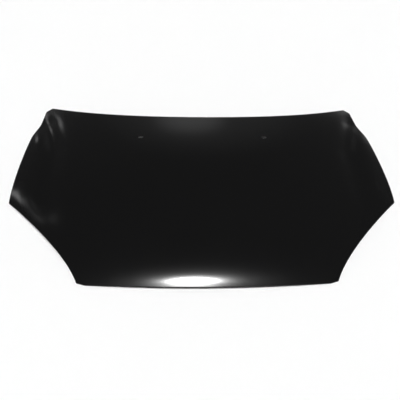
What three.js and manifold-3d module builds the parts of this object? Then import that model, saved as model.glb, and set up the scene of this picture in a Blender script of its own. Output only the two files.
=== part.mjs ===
// Car bonnet: a crowned steel outer panel, hemmed round a pressed inner frame that carries the
// hinge and latch reinforcements. Millimetres, +Z up. The nose points along -Y, the windscreen edge
// along +Y, and the car's left hand is +X. The bonnet lies on its rim, with the origin under the
// middle of its outline.
import * as THREE from "three";
import { mergeVertices } from "three/addons/utils/BufferGeometryUtils.js";
import Module from "manifold-3d";

const wasm = await Module();
wasm.setup();

// Outline in plan, as seen from above: the left half, the right half mirrors it.
const HALF_WIDTH = 700; // at the outer headlamp corner, the widest point
const NOSE_Y = -460; // front edge at the centreline
const REAR_CENTRE_Y = 305; // windscreen edge at the centreline
const NOSE_BOW = 20; // the front edge's ends lie this far behind its middle
const FRONT_CORNER_IN = new THREE.Vector2(397, -440);
const FRONT_CORNER = new THREE.Vector2(425, -431);
const TIP = new THREE.Vector2(HALF_WIDTH, -84);
const REAR_CORNER_OUT = new THREE.Vector2(642, 442);
const REAR_CORNER = new THREE.Vector2(617, 460);
const LAMP_CUT_PULL = new THREE.Vector2(463, -337); // the headlamp cut bows in towards this point
const NOTCH_FRONT = new THREE.Vector2(671, 256); // the wing edge steps in between these two points
const NOTCH_REAR = new THREE.Vector2(647, 372);
const SCUTTLE_SQUARE = 3.1e-4; // the windscreen edge sweeps back by this times x squared
const SCUTTLE_FOURTH = 2.5e-10; // and by this times x to the fourth

// The skin's height: a crown across, a long arch from front to rear, and a roll at the nose.
const SUMMIT = 100; // height of the arch at its highest, before the rim is set down on z = 0
const SUMMIT_Y = 67;
const ARCH = 2.05e-4; // drop per square millimetre along the car
const NOSE_DROP = 29.3; // extra drop at the front edge
const NOSE_REACH = 70; // how fast that drop fades rearwards
const CROWN_SQUARE = 70; // drop at the widest point from the square term
const CROWN_FOURTH = 12; // and from the fourth-power term
const SWAGE_DEPTH = 6.5; // valley between the main dome and each wing crest, at the rear
const SWAGE_DEPTH_FRONT = 2.5;
const SWAGE_WIDTH = 34;
const SWAGE_X = 560; // the valley runs straight forward here, and turns outwards at the rear
const SWAGE_TURN_Y = 150;
const SWAGE_TURN = 0.31;
const SWAGE_FADE = 0.75; // share of its depth that the valley loses by the rear corner
const CREST_RISE = 4.5; // wing crest outboard of the valley
const CREST_X = 640;
const CREST_WIDTH = 46;
const LAMP_ROLL = 9; // roll-off along the headlamp cut
const LAMP_ROLL_REACH = 30;

// Sheet, hem and inner frame sections, measured square to the skin.
const SKIN = 0.8;
const SEAT_GAP = 0.3; // clearance between pieces that are clamped or bonded together
const FRAME_SHEET = 0.7;
const FLANGE_TOP = SKIN + SEAT_GAP;
const FLANGE_UNDER = FLANGE_TOP + FRAME_SHEET;
const HEM_TOP = FLANGE_UNDER + SEAT_GAP;
const HEM_UNDER = HEM_TOP + SKIN;
const HEM_WIDTH = 11;
const FLANGE_SETBACK = 1.6; // frame flange's edge, in from the outline
const WALL_TOP = 11.6; // where the frame's rim wall leaves its flange
const WALL_FOOT = 23.5; // where that wall reaches the frame's floor
const WALL_SHEET = 0.8; // a sloping wall's thickness, measured level
const FRAME_DEPTH = 22; // the frame's floor below the skin's dome
const FRAME_FLOOR_Z = 1.5; // near the rim the floor levels out above this height
const FLOOR_BLEND = 12;
const BOND_GAP = 3.7; // room for mastic between skin and pocket flanges
const POCKET_TOP = SKIN + BOND_GAP;
const POCKET_UNDER = POCKET_TOP + FRAME_SHEET;
const POCKET_WALL = 10; // run of a pocket's sloping wall
const POCKET_FLANGE = 13;
const POCKET_CORNER = 34;

// Lightening pockets, the +X half. Each opens through the frame inside a flange bonded to the
// skin at the middle of the sides counted in bonded.
const CENTRE_POCKET = { corners: [[-95, -302], [95, -302], [172, -98], [-172, -98]], bonded: [0, 1, 2, 3] };
const SIDE_POCKETS = [
  { corners: [[32, -38], [200, -38], [322, 232], [32, 216]], bonded: [2, 3] },
  { corners: [[176, -316], [338, -334], [552, -98], [262, -98]], bonded: [0, 3] },
  { corners: [[286, -36], [596, -36], [586, 150], [522, 256], [402, 240]], bonded: [0, 4] },
];
const LONGEST_STEP = 60; // longest straight step along a pressed edge, so that it follows the dome

// Fittings.
const JET = { x: 236, y: 181, length: 20, width: 11 };
const HINGE = { x: 588, y: 345, pitch: 50, hole: 4.5, padX: 44, padY: 84, floor: 1.6, corner: 10, wall: 8 };
const HINGE_PLATE = { thickness: 1.8, width: 37, length: 77, corner: 8 };
const NUT = { across: 13, height: 6.5, flange: 8.6, flangeHeight: 1.6, bore: 3.4 };
const LATCH = { y: -384, padX: 132, padY: 54, floor: 26, corner: 12, wall: 8 };
const LATCH_PLATE = { thickness: 1.5, width: 118, length: 40, corner: 8, slot: 14 };
const STRIKER = { pitch: 46, wire: 4, reach: 23, bend: 11, hole: 4.6, head: 6.4, headHeight: 3 };
const MASTIC = { radius: 5.4, height: BOND_GAP - 0.8 };
const DRAIN_RADIUS = 8;
const DRAIN_HOLES = [[60, 254], [340, 290], [470, 322], [634, 40], [250, -372], [524, -190]];
const BUFFER_HOLE = { x: 388, y: -396, radius: 6.5 };
const PROP_SLOT = { x: -628, y: -30, length: 18, width: 11 };
const BEADS = [
  { from: [148, -272], to: [202, -136], width: 18 },
  { from: [258, -8], to: [298, 86], width: 18 },
  { from: [312, 118], to: [350, 206], width: 18 },
  { from: [630, 100], to: [624, 190], width: 16 },
  { from: [122, 256], to: [232, 267], width: 18 },
];
const BEAD_RISE = 4;

const COLOUR = { coat: 0x0b0b0c, inside: 0x0d0d0e, plate: 0x111112, zinc: 0x9a9c9e, mastic: 0x2b2c2e };

let rimLift = 0;

const smoothStep = (low, high, value) => THREE.MathUtils.smoothstep(value, low, high);

const smoothFall = (low, high, value) => 1 - smoothStep(low, high, value);

// Distance into the panel from the straight chord of the headlamp cut.
function lampCutDistance(side, y) {
  const along = new THREE.Vector2().subVectors(FRONT_CORNER, TIP).normalize();
  const from = new THREE.Vector2(side - TIP.x, y - TIP.y);
  return Math.max(0, from.x * along.y - from.y * along.x);
}

// The plain dome that the frame follows, without the skin's swages.
function domeHeight(x, y) {
  const across = Math.abs(x) / HALF_WIDTH;
  const arch = ARCH * (y - SUMMIT_Y) ** 2;
  const nose = NOSE_DROP * Math.exp(-(y - NOSE_Y) / NOSE_REACH);
  const crown = CROWN_SQUARE * across ** 2 + CROWN_FOURTH * across ** 4;
  return SUMMIT + rimLift - arch - nose - crown;
}

// The outer skin: the dome with a valley inboard of each wing crest, and rolled headlamp cuts.
function skinHeight(x, y) {
  const side = Math.abs(x);
  const valleyX = SWAGE_X + SWAGE_TURN * Math.max(0, y - SWAGE_TURN_Y);
  const deepest = THREE.MathUtils.lerp(SWAGE_DEPTH_FRONT, SWAGE_DEPTH, smoothStep(-120, 200, y));
  const valleyDepth = deepest * smoothStep(-230, -60, y) * (1 - SWAGE_FADE * smoothStep(340, 460, y));
  const valley = valleyDepth * Math.exp(-(((side - valleyX) / SWAGE_WIDTH) ** 2));
  const crestHeight = CREST_RISE * smoothStep(-190, -20, y) * smoothFall(200, 360, y);
  const crest = crestHeight * Math.exp(-(((side - CREST_X) / CREST_WIDTH) ** 2));
  const rolled = LAMP_ROLL * smoothStep(-470, -250, y);
  const lampRoll = rolled * Math.exp(-lampCutDistance(side, y) / LAMP_ROLL_REACH);
  return domeHeight(x, y) - valley + crest - lampRoll;
}

// Vertical drop that lies the given depth below a surface, measured square to it.
function dropFor(heightAt, x, y, depth) {
  const step = 0.5;
  const slopeX = (heightAt(x + step, y) - heightAt(x - step, y)) / (2 * step);
  const slopeY = (heightAt(x, y + step) - heightAt(x, y - step)) / (2 * step);
  return depth * Math.hypot(1, slopeX, slopeY);
}

const below = (depth) => (p) => skinHeight(p.x, p.y) - dropFor(skinHeight, p.x, p.y, depth);

// The frame's floor follows the dome, and levels out where the rim comes near the ground.
const floorUnder = (p) => {
  const gap = domeHeight(p.x, p.y) - dropFor(domeHeight, p.x, p.y, FRAME_DEPTH) - FRAME_FLOOR_Z;
  return FRAME_FLOOR_Z + (gap + Math.hypot(gap, FLOOR_BLEND)) / 2;
};
const floorTop = (p) => floorUnder(p) + FRAME_SHEET * 1.04;

// Where points stand along the outline. The nose, the swages and the corners get the most.
const WING_STEPS = 13;
const NOSE_SHARES = [1, 0.92, 0.85, 0.77, 0.69, 0.6, 0.51, 0.42, 0.33, 0.23, 0.12, 0];
const COLUMNS = [
  0, 0.09, 0.18, 0.27, 0.36, 0.45, 0.53, 0.6, 0.66, 0.71, 0.76, 0.81, 0.85, 0.89, 0.92, 0.96, 1,
];

// From the tip the side runs nearly straight, steps in at the notch and runs on to the rear.
function wingEdge() {
  const edge = new THREE.CurvePath();
  const fromTip = [TIP.clone().add({ x: -1, y: 104 }), NOTCH_FRONT.clone().add({ x: 10, y: -70 })];
  const intoStep = [NOTCH_FRONT.clone().add({ x: -9, y: 44 }), NOTCH_REAR.clone().add({ x: 1, y: -54 })];
  edge.add(new THREE.CubicBezierCurve(TIP, ...fromTip, NOTCH_FRONT));
  edge.add(new THREE.CubicBezierCurve(NOTCH_FRONT, ...intoStep, NOTCH_REAR));
  edge.add(new THREE.LineCurve(NOTCH_REAR, REAR_CORNER_OUT));
  return edge;
}

function leftSide() {
  const cut = new THREE.QuadraticBezierCurve(TIP, LAMP_CUT_PULL, FRONT_CORNER);
  const edge = wingEdge();
  const points = [FRONT_CORNER_IN, ...NOSE_SHARES.map((share) => cut.getPoint(share))];
  for (let i = 1; i <= WING_STEPS; i++) points.push(edge.getPointAt(i / WING_STEPS));
  return [...points, REAR_CORNER];
}

const scuttleSweep = (x) => SCUTTLE_SQUARE * x ** 2 + SCUTTLE_FOURTH * x ** 4;

function edgeAcross(halfWidth, yAt) {
  const shares = [...COLUMNS.slice(1).reverse().map((share) => -share), ...COLUMNS];
  return shares.map((share) => new THREE.Vector2(share * halfWidth, yAt(share * halfWidth)));
}

// The four sides of the outline: front, +X side, rear and -X side.
function outline() {
  const side = leftSide();
  const rearSweep = (REAR_CORNER.y - REAR_CENTRE_Y) / scuttleSweep(REAR_CORNER.x);
  return {
    front: edgeAcross(FRONT_CORNER_IN.x, (x) => NOSE_Y + NOSE_BOW * (x / FRONT_CORNER_IN.x) ** 2),
    plus: side,
    rear: edgeAcross(REAR_CORNER.x, (x) => REAR_CENTRE_Y + rearSweep * scuttleSweep(x)),
    minus: side.map((p) => new THREE.Vector2(-p.x, p.y)),
  };
}

// Sets the lowest point of the folded rim down on z = 0.
function standOnRim() {
  rimLift = -Math.min(...toLoop(outline()).map(below(HEM_UNDER)));
}

// One anticlockwise loop from the four sides, and back again.
function toLoop(sides) {
  return [
    ...sides.front.slice(0, -1),
    ...sides.plus.slice(0, -1),
    ...[...sides.rear].reverse().slice(0, -1),
    ...[...sides.minus].reverse().slice(0, -1),
  ];
}

function toSides(loop, sides) {
  const across = sides.front.length - 1;
  const along = sides.plus.length - 1;
  const at = (start, count) => Array.from({ length: count + 1 }, (_, i) => loop[(start + i) % loop.length]);
  return {
    front: at(0, across),
    plus: at(across, along),
    rear: at(across + along, across).reverse(),
    minus: at(2 * across + along, along).reverse(),
  };
}

// Moves every point of a loop inwards, square to both of its edges.
function inset(loop, distance) {
  return loop.map((p, i) => {
    const before = new THREE.Vector2().subVectors(p, loop.at(i - 1)).normalize();
    const after = new THREE.Vector2().subVectors(loop[(i + 1) % loop.length], p).normalize();
    const normalBefore = new THREE.Vector2(-before.y, before.x);
    const normalAfter = new THREE.Vector2(-after.y, after.x);
    const mitre = normalBefore.clone().add(normalAfter).normalize();
    return mitre.multiplyScalar(distance / mitre.dot(normalBefore)).add(p);
  });
}

// Collects closed-surface triangles.
class Surface {
  constructor() {
    this.positions = [];
  }

  triangle(a, b, c) {
    this.positions.push(a.x, a.y, a.z, b.x, b.y, b.z, c.x, c.y, c.z);
  }

  quad(a, b, c, d) {
    this.triangle(a, b, c);
    this.triangle(a, c, d);
  }

  // Joins two loops of equal length. Seen from outside, the first lies below the second. Sheets
  // that lie one over the other are cut along the same diagonals, from the wider loop.
  band(lower, upper) {
    const narrows = THREE.ShapeUtils.area(lower) >= THREE.ShapeUtils.area(upper);
    lower.forEach((p, i) => {
      const next = (i + 1) % lower.length;
      if (narrows) this.quad(p, lower[next], upper[next], upper[i]);
      else this.quad(lower[next], upper[next], upper[i], p);
    });
  }

  // A run of bands from loop to loop along a section.
  strip(loops) {
    loops.slice(1).forEach((loop, i) => this.band(loops[i], loop));
  }

  // Fills a sheet, top and underside, between loops that match point for point. Both sides are cut
  // into the same triangles, so the sheet keeps its thickness wherever it bends.
  sheet(loops, topAt, underAt) {
    const top = lift(loops.flatMap((loop) => loop.top), topAt);
    const under = lift(loops.flatMap((loop) => loop.under), underAt);
    for (const [a, b, c] of evenTriangles(loops.map((loop) => loop.top))) {
      this.triangle(top[a], top[b], top[c]);
      this.triangle(under[a], under[c], under[b]);
    }
  }

  // Closes one round loop with a fan, facing the way that its turn gives.
  fan(loop, up) {
    const middle = new THREE.Vector3();
    loop.forEach((p) => middle.addScaledVector(p, 1 / loop.length));
    loop.forEach((p, i) => {
      const next = loop[(i + 1) % loop.length];
      this.triangle(middle, up ? p : next, up ? next : p);
    });
  }

  // Fills four sides with a grid, facing up or down.
  patch(sides, heightAt, up) {
    const rows = sides.plus.length - 1;
    const columns = sides.front.length - 1;
    const grid = sides.minus.map((_, row) =>
      sides.front.map((__, column) => raise(coons(sides, column, row), heightAt)),
    );
    for (let row = 0; row < rows; row++) {
      for (let column = 0; column < columns; column++) {
        const [fore, aft] = [grid[row], grid[row + 1]];
        const corners = [fore[column], fore[column + 1], aft[column + 1], aft[column]];
        if (2 * column < columns) corners.unshift(corners.pop());
        const [a, b, c, d] = corners;
        if (up) this.quad(a, b, c, d);
        else this.quad(a, d, c, b);
      }
    }
  }

  geometry() {
    const positions = new THREE.Float32BufferAttribute(this.positions, 3);
    return new THREE.BufferGeometry().setAttribute("position", positions);
  }
}

// Cuts the space between a contour and its holes into triangles. The edge that two of them share is
// swapped for their quad's other diagonal wherever that makes them less narrow, until no swap helps.
function evenTriangles([contour, ...holes]) {
  const points = [contour, ...holes].flat();
  const area = (a, b, c) => THREE.ShapeUtils.area([points[a], points[b], points[c]]);
  const cut = THREE.ShapeUtils.triangulateShape(contour, holes);
  const clockwise = cut.reduce((sum, corners) => sum + area(...corners), 0) < 0;
  const opposite = new Map();
  const edge = (a, b) => a * points.length + b;
  const store = (a, b, c) => opposite.set(edge(a, b), c).set(edge(b, c), a).set(edge(c, a), b);
  cut.forEach(([a, b, c]) => (clockwise ? store(a, c, b) : store(a, b, c)));

  const seenFrom = (corner, a, b) => {
    const toA = new THREE.Vector2().subVectors(points[a], points[corner]);
    const toB = new THREE.Vector2().subVectors(points[b], points[corner]);
    return { sine: toA.cross(toB), cosine: toA.dot(toB) };
  };
  const swapHelps = (a, b, c, d) => {
    if (area(a, d, c) < 0.01 || area(d, b, c) < 0.01) return false;
    const atC = seenFrom(c, a, b);
    const atD = seenFrom(d, b, a);
    return atC.sine * atD.cosine + atC.cosine * atD.sine < -1e-6;
  };
  let swapped = true;
  while (swapped) {
    swapped = false;
    for (const key of [...opposite.keys()]) {
      const [a, b] = [Math.floor(key / points.length), key % points.length];
      const c = opposite.get(edge(a, b));
      const d = opposite.get(edge(b, a));
      if (c === undefined || d === undefined || !swapHelps(a, b, c, d)) continue;
      opposite.delete(edge(a, b));
      opposite.delete(edge(b, a));
      store(a, d, c);
      store(d, b, c);
      swapped = true;
    }
  }
  const ends = (key) => [Math.floor(key / points.length), key % points.length];
  const triangles = [...opposite].map(([key, c]) => [...ends(key), c]);
  return triangles.filter(([a, b, c]) => a < b && a < c);
}

// The point of a Coons patch: the two pairs of sides blended, less the corners counted twice.
function coons(sides, column, row) {
  const lastColumn = sides.front.length - 1;
  const lastRow = sides.plus.length - 1;
  if (row === 0) return sides.front[column];
  if (row === lastRow) return sides.rear[column];
  if (column === 0) return sides.minus[row];
  if (column === lastColumn) return sides.plus[row];
  const mix = (a, b, share) => new THREE.Vector2().lerpVectors(a, b, share);
  const [frontStart, frontEnd] = [sides.front[0], sides.front[lastColumn]];
  const [rearStart, rearEnd] = [sides.rear[0], sides.rear[lastColumn]];
  const across = (sides.front[column].x - frontStart.x) / (frontEnd.x - frontStart.x);
  const along = (sides.plus[row].y - frontEnd.y) / (rearEnd.y - frontEnd.y);
  const crosswise = mix(sides.minus[row], sides.plus[row], across);
  const lengthwise = mix(sides.front[column], sides.rear[column], along);
  const corners = mix(mix(frontStart, frontEnd, across), mix(rearStart, rearEnd, across), along);
  return crosswise.add(lengthwise).sub(corners);
}

const raise = (p, heightAt) => new THREE.Vector3(p.x, p.y, heightAt(p));
const lift = (loop, heightAt) => loop.map((p) => raise(p, heightAt));

function toManifold(geometry) {
  const bare = geometry.index ? geometry.toNonIndexed() : geometry.clone();
  bare.deleteAttribute("normal");
  bare.deleteAttribute("uv");
  const merged = mergeVertices(bare, 1e-3);
  const vertProperties = merged.attributes.position.array;
  const triVerts = new Uint32Array(merged.index.array);
  return new wasm.Manifold(new wasm.Mesh({ numProp: 3, vertProperties, triVerts }));
}

function toGeometry(solid) {
  const mesh = solid.getMesh();
  const geometry = new THREE.BufferGeometry();
  geometry.setAttribute("position", new THREE.BufferAttribute(new Float32Array(mesh.vertProperties), 3));
  geometry.setIndex(new THREE.BufferAttribute(new Uint32Array(mesh.triVerts), 1));
  geometry.computeVertexNormals();
  return geometry;
}

// A straight prism of a shape between two heights.
function prism(shape, low, high, segments = 6) {
  const options = { depth: high - low, bevelEnabled: false, curveSegments: segments };
  return toManifold(new THREE.ExtrudeGeometry(shape, options).translate(0, 0, low));
}

const through = (shape, segments) => prism(shape, -20, 2 * SUMMIT, segments);
const disc = (x, y, radius) => new THREE.Shape().absarc(x, y, radius, 0, 2 * Math.PI, false);

function slotShape(x, y, length, width) {
  const run = (length - width) / 2;
  const shape = new THREE.Shape();
  shape.absarc(x + run, y, width / 2, -Math.PI / 2, Math.PI / 2, false);
  shape.absarc(x - run, y, width / 2, Math.PI / 2, (3 * Math.PI) / 2, false);
  return shape;
}

function circle(x, y, radius, steps) {
  return Array.from({ length: steps }, (_, i) => {
    const angle = (2 * Math.PI * (i + 0.5)) / steps;
    return new THREE.Vector2(x + radius * Math.cos(angle), y + radius * Math.sin(angle));
  });
}

const withoutRepeats = (loop) => loop.filter((p, i) => p.distanceTo(loop.at(i - 1)) > 1e-3);
const mirrored = (loop) => loop.map((p) => new THREE.Vector2(-p.x, p.y)).reverse();
const withMirror = (loops) => loops.flatMap((loop) => [loop, mirrored(loop)]);
const rectangle = (x, y, width, length) =>
  [[-1, -1], [1, -1], [1, 1], [-1, 1]].map(([i, j]) => [x + (i * width) / 2, y + (j * length) / 2]);

// An anticlockwise loop with its corners rounded and its straights split into even steps.
function roundedLoop(corners, radius, arcSteps = 3) {
  const points = corners.map(([x, y]) => new THREE.Vector2(x, y));
  const rounded = points.flatMap((corner, i) => {
    const back = new THREE.Vector2().subVectors(points.at(i - 1), corner).normalize();
    const on = new THREE.Vector2().subVectors(points[(i + 1) % points.length], corner).normalize();
    const half = Math.acos(back.dot(on)) / 2;
    const towards = back.clone().add(on).setLength(radius / Math.sin(half));
    const centre = corner.clone().add(towards);
    const start = corner.clone().addScaledVector(back, radius / Math.tan(half)).sub(centre);
    const sweep = Math.PI - 2 * half;
    return Array.from({ length: arcSteps + 1 }, (_, step) =>
      start.clone().rotateAround(new THREE.Vector2(), (sweep * step) / arcSteps).add(centre),
    );
  });
  return rounded.flatMap((p, i) => {
    const next = rounded[(i + 1) % rounded.length];
    const steps = Math.max(1, Math.ceil(p.distanceTo(next) / LONGEST_STEP));
    return Array.from({ length: steps }, (_, step) => new THREE.Vector2().lerpVectors(p, next, step / steps));
  });
}

// Loops of the rim: straight across from the outline to the end of the hem, at any depth, so that
// the folded skin and the flange inside it stay parallel.
function rimSection(steps) {
  const edge = toLoop(outline());
  const hemEnd = inset(edge, HEM_WIDTH);
  return steps.map(([distance, depth]) => {
    const heightAt = below(depth);
    return inset(edge, distance).map((p, i) => {
      const z = THREE.MathUtils.lerp(heightAt(edge[i]), heightAt(hemEnd[i]), distance / HEM_WIDTH);
      return new THREE.Vector3(p.x, p.y, z);
    });
  });
}

// The outer panel: a skin whose edge is folded back under itself all round.
function outerPanel() {
  const sides = outline();
  const inner = toSides(inset(toLoop(sides), HEM_WIDTH), sides);
  const surface = new Surface();
  surface.strip(
    rimSection([
      [HEM_WIDTH, SKIN],
      [SKIN, SKIN],
      [SKIN, HEM_TOP],
      [HEM_WIDTH, HEM_TOP],
      [HEM_WIDTH, HEM_UNDER],
      [0, HEM_UNDER],
      [0, 0],
      [HEM_WIDTH, 0],
    ]),
  );
  surface.patch(inner, below(0), true);
  surface.patch(inner, below(SKIN), false);
  const jets = [-JET.x, JET.x].map((x) => through(slotShape(x, JET.y, JET.length, JET.width)));
  return toManifold(surface.geometry()).subtract(wasm.Manifold.union(jets));
}

// A stiffening bead's outline, a long slot between two points.
function beadLoop({ from, to, width }) {
  const start = new THREE.Vector2(...from);
  const end = new THREE.Vector2(...to);
  const along = new THREE.Vector2().subVectors(end, start).setLength(width / 2);
  const out = new THREE.Vector2(along.y, -along.x);
  const corners = [
    start.clone().sub(along).add(out),
    end.clone().add(along).add(out),
    end.clone().add(along).sub(out),
    start.clone().sub(along).sub(out),
  ];
  return roundedLoop(corners.map((p) => [p.x, p.y]), width / 2 - 1, 2);
}

// A raised pocket: its wall ends in a bonding flange round the lightening opening.
function pocket(surface, base) {
  const opening = inset(base, POCKET_WALL + POCKET_FLANGE);
  const section = [
    lift(base, floorTop),
    lift(inset(base, POCKET_WALL), below(POCKET_TOP)),
    lift(opening, below(POCKET_TOP)),
    lift(opening, below(POCKET_UNDER)),
    lift(inset(base, POCKET_WALL + WALL_SHEET), below(POCKET_UNDER)),
    lift(inset(base, WALL_SHEET), floorUnder),
  ];
  surface.strip(section);
  return { top: base, under: inset(base, WALL_SHEET) };
}

// A pressing closed by a face. Its wall's sheet lies inside the base line where it rises (lean 1),
// outside where it sinks (lean -1), and half and half where it does both.
function facedPressing(surface, { base, wall, lean, faceUnder, holes = [] }) {
  const faceTop = (p) => faceUnder(p) + FRAME_SHEET;
  const face = { top: inset(base, wall), under: inset(base, wall + lean * WALL_SHEET) };
  const foot = { top: base, under: inset(base, lean * WALL_SHEET) };
  surface.band(lift(foot.top, floorTop), lift(face.top, faceTop));
  surface.band(lift(face.under, faceUnder), lift(foot.under, floorUnder));
  surface.sheet([face, ...holes.map((hole) => ({ top: hole, under: hole }))], faceTop, faceUnder);
  holes.forEach((hole) => surface.band(lift(hole, faceTop), lift(hole, faceUnder)));
  return foot;
}

const grown = (x, y, width, length, wall, corner) =>
  roundedLoop(rectangle(x, y, width + 2 * wall, length + 2 * wall), corner + wall);

function framePressings() {
  const pressings = [-1, 1].map((side) => ({
    base: grown(side * HINGE.x, HINGE.y, HINGE.padX, HINGE.padY, HINGE.wall, HINGE.corner),
    wall: HINGE.wall,
    lean: -1,
    faceUnder: () => HINGE.floor,
    holes: [-1, 1].map((end) => circle(side * HINGE.x, HINGE.y + (end * HINGE.pitch) / 2, HINGE.hole, 10)),
  }));
  pressings.push({
    base: grown(0, LATCH.y, LATCH.padX, LATCH.padY, LATCH.wall, LATCH.corner),
    wall: LATCH.wall,
    lean: 0,
    faceUnder: () => LATCH.floor,
    holes: [-1, 1].map((side) => circle((side * STRIKER.pitch) / 2, LATCH.y, STRIKER.hole, 10)),
  });
  for (const base of withMirror(BEADS.map(beadLoop))) {
    pressings.push({ base, wall: 3, lean: 1, faceUnder: (p) => floorUnder(p) + BEAD_RISE });
  }
  return pressings;
}

function frameHoles() {
  const drains = DRAIN_HOLES.map(([x, y]) => circle(x, y, DRAIN_RADIUS, 8));
  const buffer = circle(BUFFER_HOLE.x, BUFFER_HOLE.y, BUFFER_HOLE.radius, 8);
  const propSlot = slotShape(PROP_SLOT.x, PROP_SLOT.y, PROP_SLOT.length, PROP_SLOT.width).getPoints(4);
  return [...withMirror([...drains, buffer]), withoutRepeats(propSlot)];
}

// The inner frame, one pressing: a flange in the hem, a sloping rim wall, and a floor that is drawn
// up into pockets, beads and pads.
function innerFrame() {
  const edge = toLoop(outline());
  const footTop = inset(edge, WALL_FOOT + WALL_SHEET);
  const footUnder = inset(edge, WALL_FOOT);
  const surface = new Surface();
  surface.strip([
    lift(footUnder, floorUnder),
    ...rimSection([
      [WALL_TOP, FLANGE_UNDER],
      [FLANGE_SETBACK, FLANGE_UNDER],
      [FLANGE_SETBACK, FLANGE_TOP],
      [WALL_TOP + WALL_SHEET, FLANGE_TOP],
    ]),
    lift(footTop, floorTop),
  ]);
  const sidePockets = SIDE_POCKETS.map(({ corners }) => roundedLoop(corners, POCKET_CORNER));
  const pockets = [roundedLoop(CENTRE_POCKET.corners, POCKET_CORNER), ...withMirror(sidePockets)];
  const holes = frameHoles();
  const drawn = [
    ...pockets.map((base) => pocket(surface, base)),
    ...framePressings().map((pressing) => facedPressing(surface, pressing)),
    ...holes.map((hole) => ({ top: hole, under: hole })),
  ];
  holes.forEach((hole) => surface.band(lift(hole, floorTop), lift(hole, floorUnder)));
  surface.sheet([{ top: footTop, under: footUnder }, ...drawn], floorTop, floorUnder);
  return toManifold(surface.geometry());
}

// A flat plate with rounded corners, lying on its pad.
function plate(x, y, low, { width, length, corner, thickness }, holes) {
  const shape = new THREE.Shape(roundedLoop(rectangle(x, y, width, length), corner));
  const cut = wasm.Manifold.union(holes.map((hole) => through(hole, 5)));
  return prism(shape, low, low + thickness).subtract(cut);
}

// A flanged hexagonal weld nut.
function weldNut(x, y, low) {
  const radius = NUT.across / 2 / Math.cos(Math.PI / 6);
  const corners = Array.from({ length: 6 }, (_, i) => {
    const angle = (i * Math.PI) / 3;
    return new THREE.Vector2(x + radius * Math.cos(angle), y + radius * Math.sin(angle));
  });
  const body = prism(new THREE.Shape(corners), low, low + NUT.height);
  const flange = prism(disc(x, y, NUT.flange), low, low + NUT.flangeHeight, 6);
  return body.add(flange).subtract(through(disc(x, y, NUT.bore), 5));
}

// The striker: a bent round wire whose legs pass through the pad and are headed over its plate.
function striker(plateTop) {
  const half = STRIKER.pitch / 2;
  const bend = STRIKER.bend;
  const low = LATCH.floor - STRIKER.reach + STRIKER.wire;
  const headUnder = plateTop + SEAT_GAP;
  const path = new THREE.CurvePath();
  const at = (x, z) => new THREE.Vector3(x, LATCH.y, z);
  path.add(new THREE.LineCurve3(at(-half, headUnder + 1), at(-half, low + bend)));
  path.add(new THREE.QuadraticBezierCurve3(at(-half, low + bend), at(-half, low), at(bend - half, low)));
  path.add(new THREE.LineCurve3(at(bend - half, low), at(half - bend, low)));
  path.add(new THREE.QuadraticBezierCurve3(at(half - bend, low), at(half, low), at(half, low + bend)));
  path.add(new THREE.LineCurve3(at(half, low + bend), at(half, headUnder + 1)));
  const rings = [];
  const steps = 18;
  for (let step = 0; step <= steps; step++) {
    const centre = path.getPointAt(step / steps);
    const along = path.getTangentAt(step / steps);
    const across = new THREE.Vector3(0, 1, 0);
    const out = new THREE.Vector3().crossVectors(across, along);
    rings.push(
      Array.from({ length: 10 }, (_, i) => {
        const angle = (i * Math.PI) / 5;
        const sideways = centre.clone().addScaledVector(across, STRIKER.wire * Math.sin(angle));
        return sideways.addScaledVector(out, STRIKER.wire * Math.cos(angle));
      }),
    );
  }
  const surface = new Surface();
  surface.strip(rings);
  surface.fan(rings[0], false);
  surface.fan(rings.at(-1), true);
  const wire = toManifold(surface.geometry());
  const heads = [-half, half].map((x) =>
    prism(disc(x, LATCH.y, STRIKER.head), headUnder, headUnder + STRIKER.headHeight, 6),
  );
  return wire.add(wasm.Manifold.union(heads));
}

// The flange points that mastic bonds to the skin: the middles of a pocket's named sides.
function bondPoints({ corners, bonded }) {
  const points = corners.map(([x, y]) => new THREE.Vector2(x, y));
  return bonded.map((side) => {
    const start = points[side];
    const end = points[(side + 1) % points.length];
    const along = new THREE.Vector2().subVectors(end, start).normalize();
    const middle = new THREE.Vector2().addVectors(start, end).multiplyScalar(0.5);
    const reach = POCKET_WALL + POCKET_FLANGE / 2 + 0.5;
    return middle.addScaledVector(new THREE.Vector2(-along.y, along.x), reach);
  });
}

// A pressed-flat drop of mastic, standing square to the skin above its flange.
function masticPad(p) {
  const { radius, height } = MASTIC;
  const outlineShares = [[0, 0], [0.9, 0], [1, 0.45], [0.9, 1], [0, 1]];
  const profile = outlineShares.map(([out, up]) => new THREE.Vector2(out * radius, up * height));
  const step = 0.5;
  const slopeX = (skinHeight(p.x + step, p.y) - skinHeight(p.x - step, p.y)) / (2 * step);
  const slopeY = (skinHeight(p.x, p.y + step) - skinHeight(p.x, p.y - step)) / (2 * step);
  const normal = new THREE.Vector3(-slopeX, -slopeY, 1).normalize();
  const turn = new THREE.Quaternion().setFromUnitVectors(new THREE.Vector3(0, 1, 0), normal);
  const foot = raise(p, below(POCKET_TOP - SEAT_GAP));
  return new THREE.LatheGeometry(profile, 8).applyQuaternion(turn).translate(foot.x, foot.y, foot.z);
}

const root = new THREE.Group();

function add(name, solid, color, finish = {}) {
  const material = new THREE.MeshStandardMaterial({ color, roughness: 0.4, metalness: 0.1, ...finish });
  const mesh = new THREE.Mesh(toGeometry(solid), material);
  mesh.name = name;
  root.add(mesh);
}

standOnRim();
const bare = { roughness: 0.35, metalness: 0.9 };
add("outer_panel", outerPanel(), COLOUR.coat, { roughness: 0.28 });
add("inner_frame", innerFrame(), COLOUR.inside);

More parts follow.
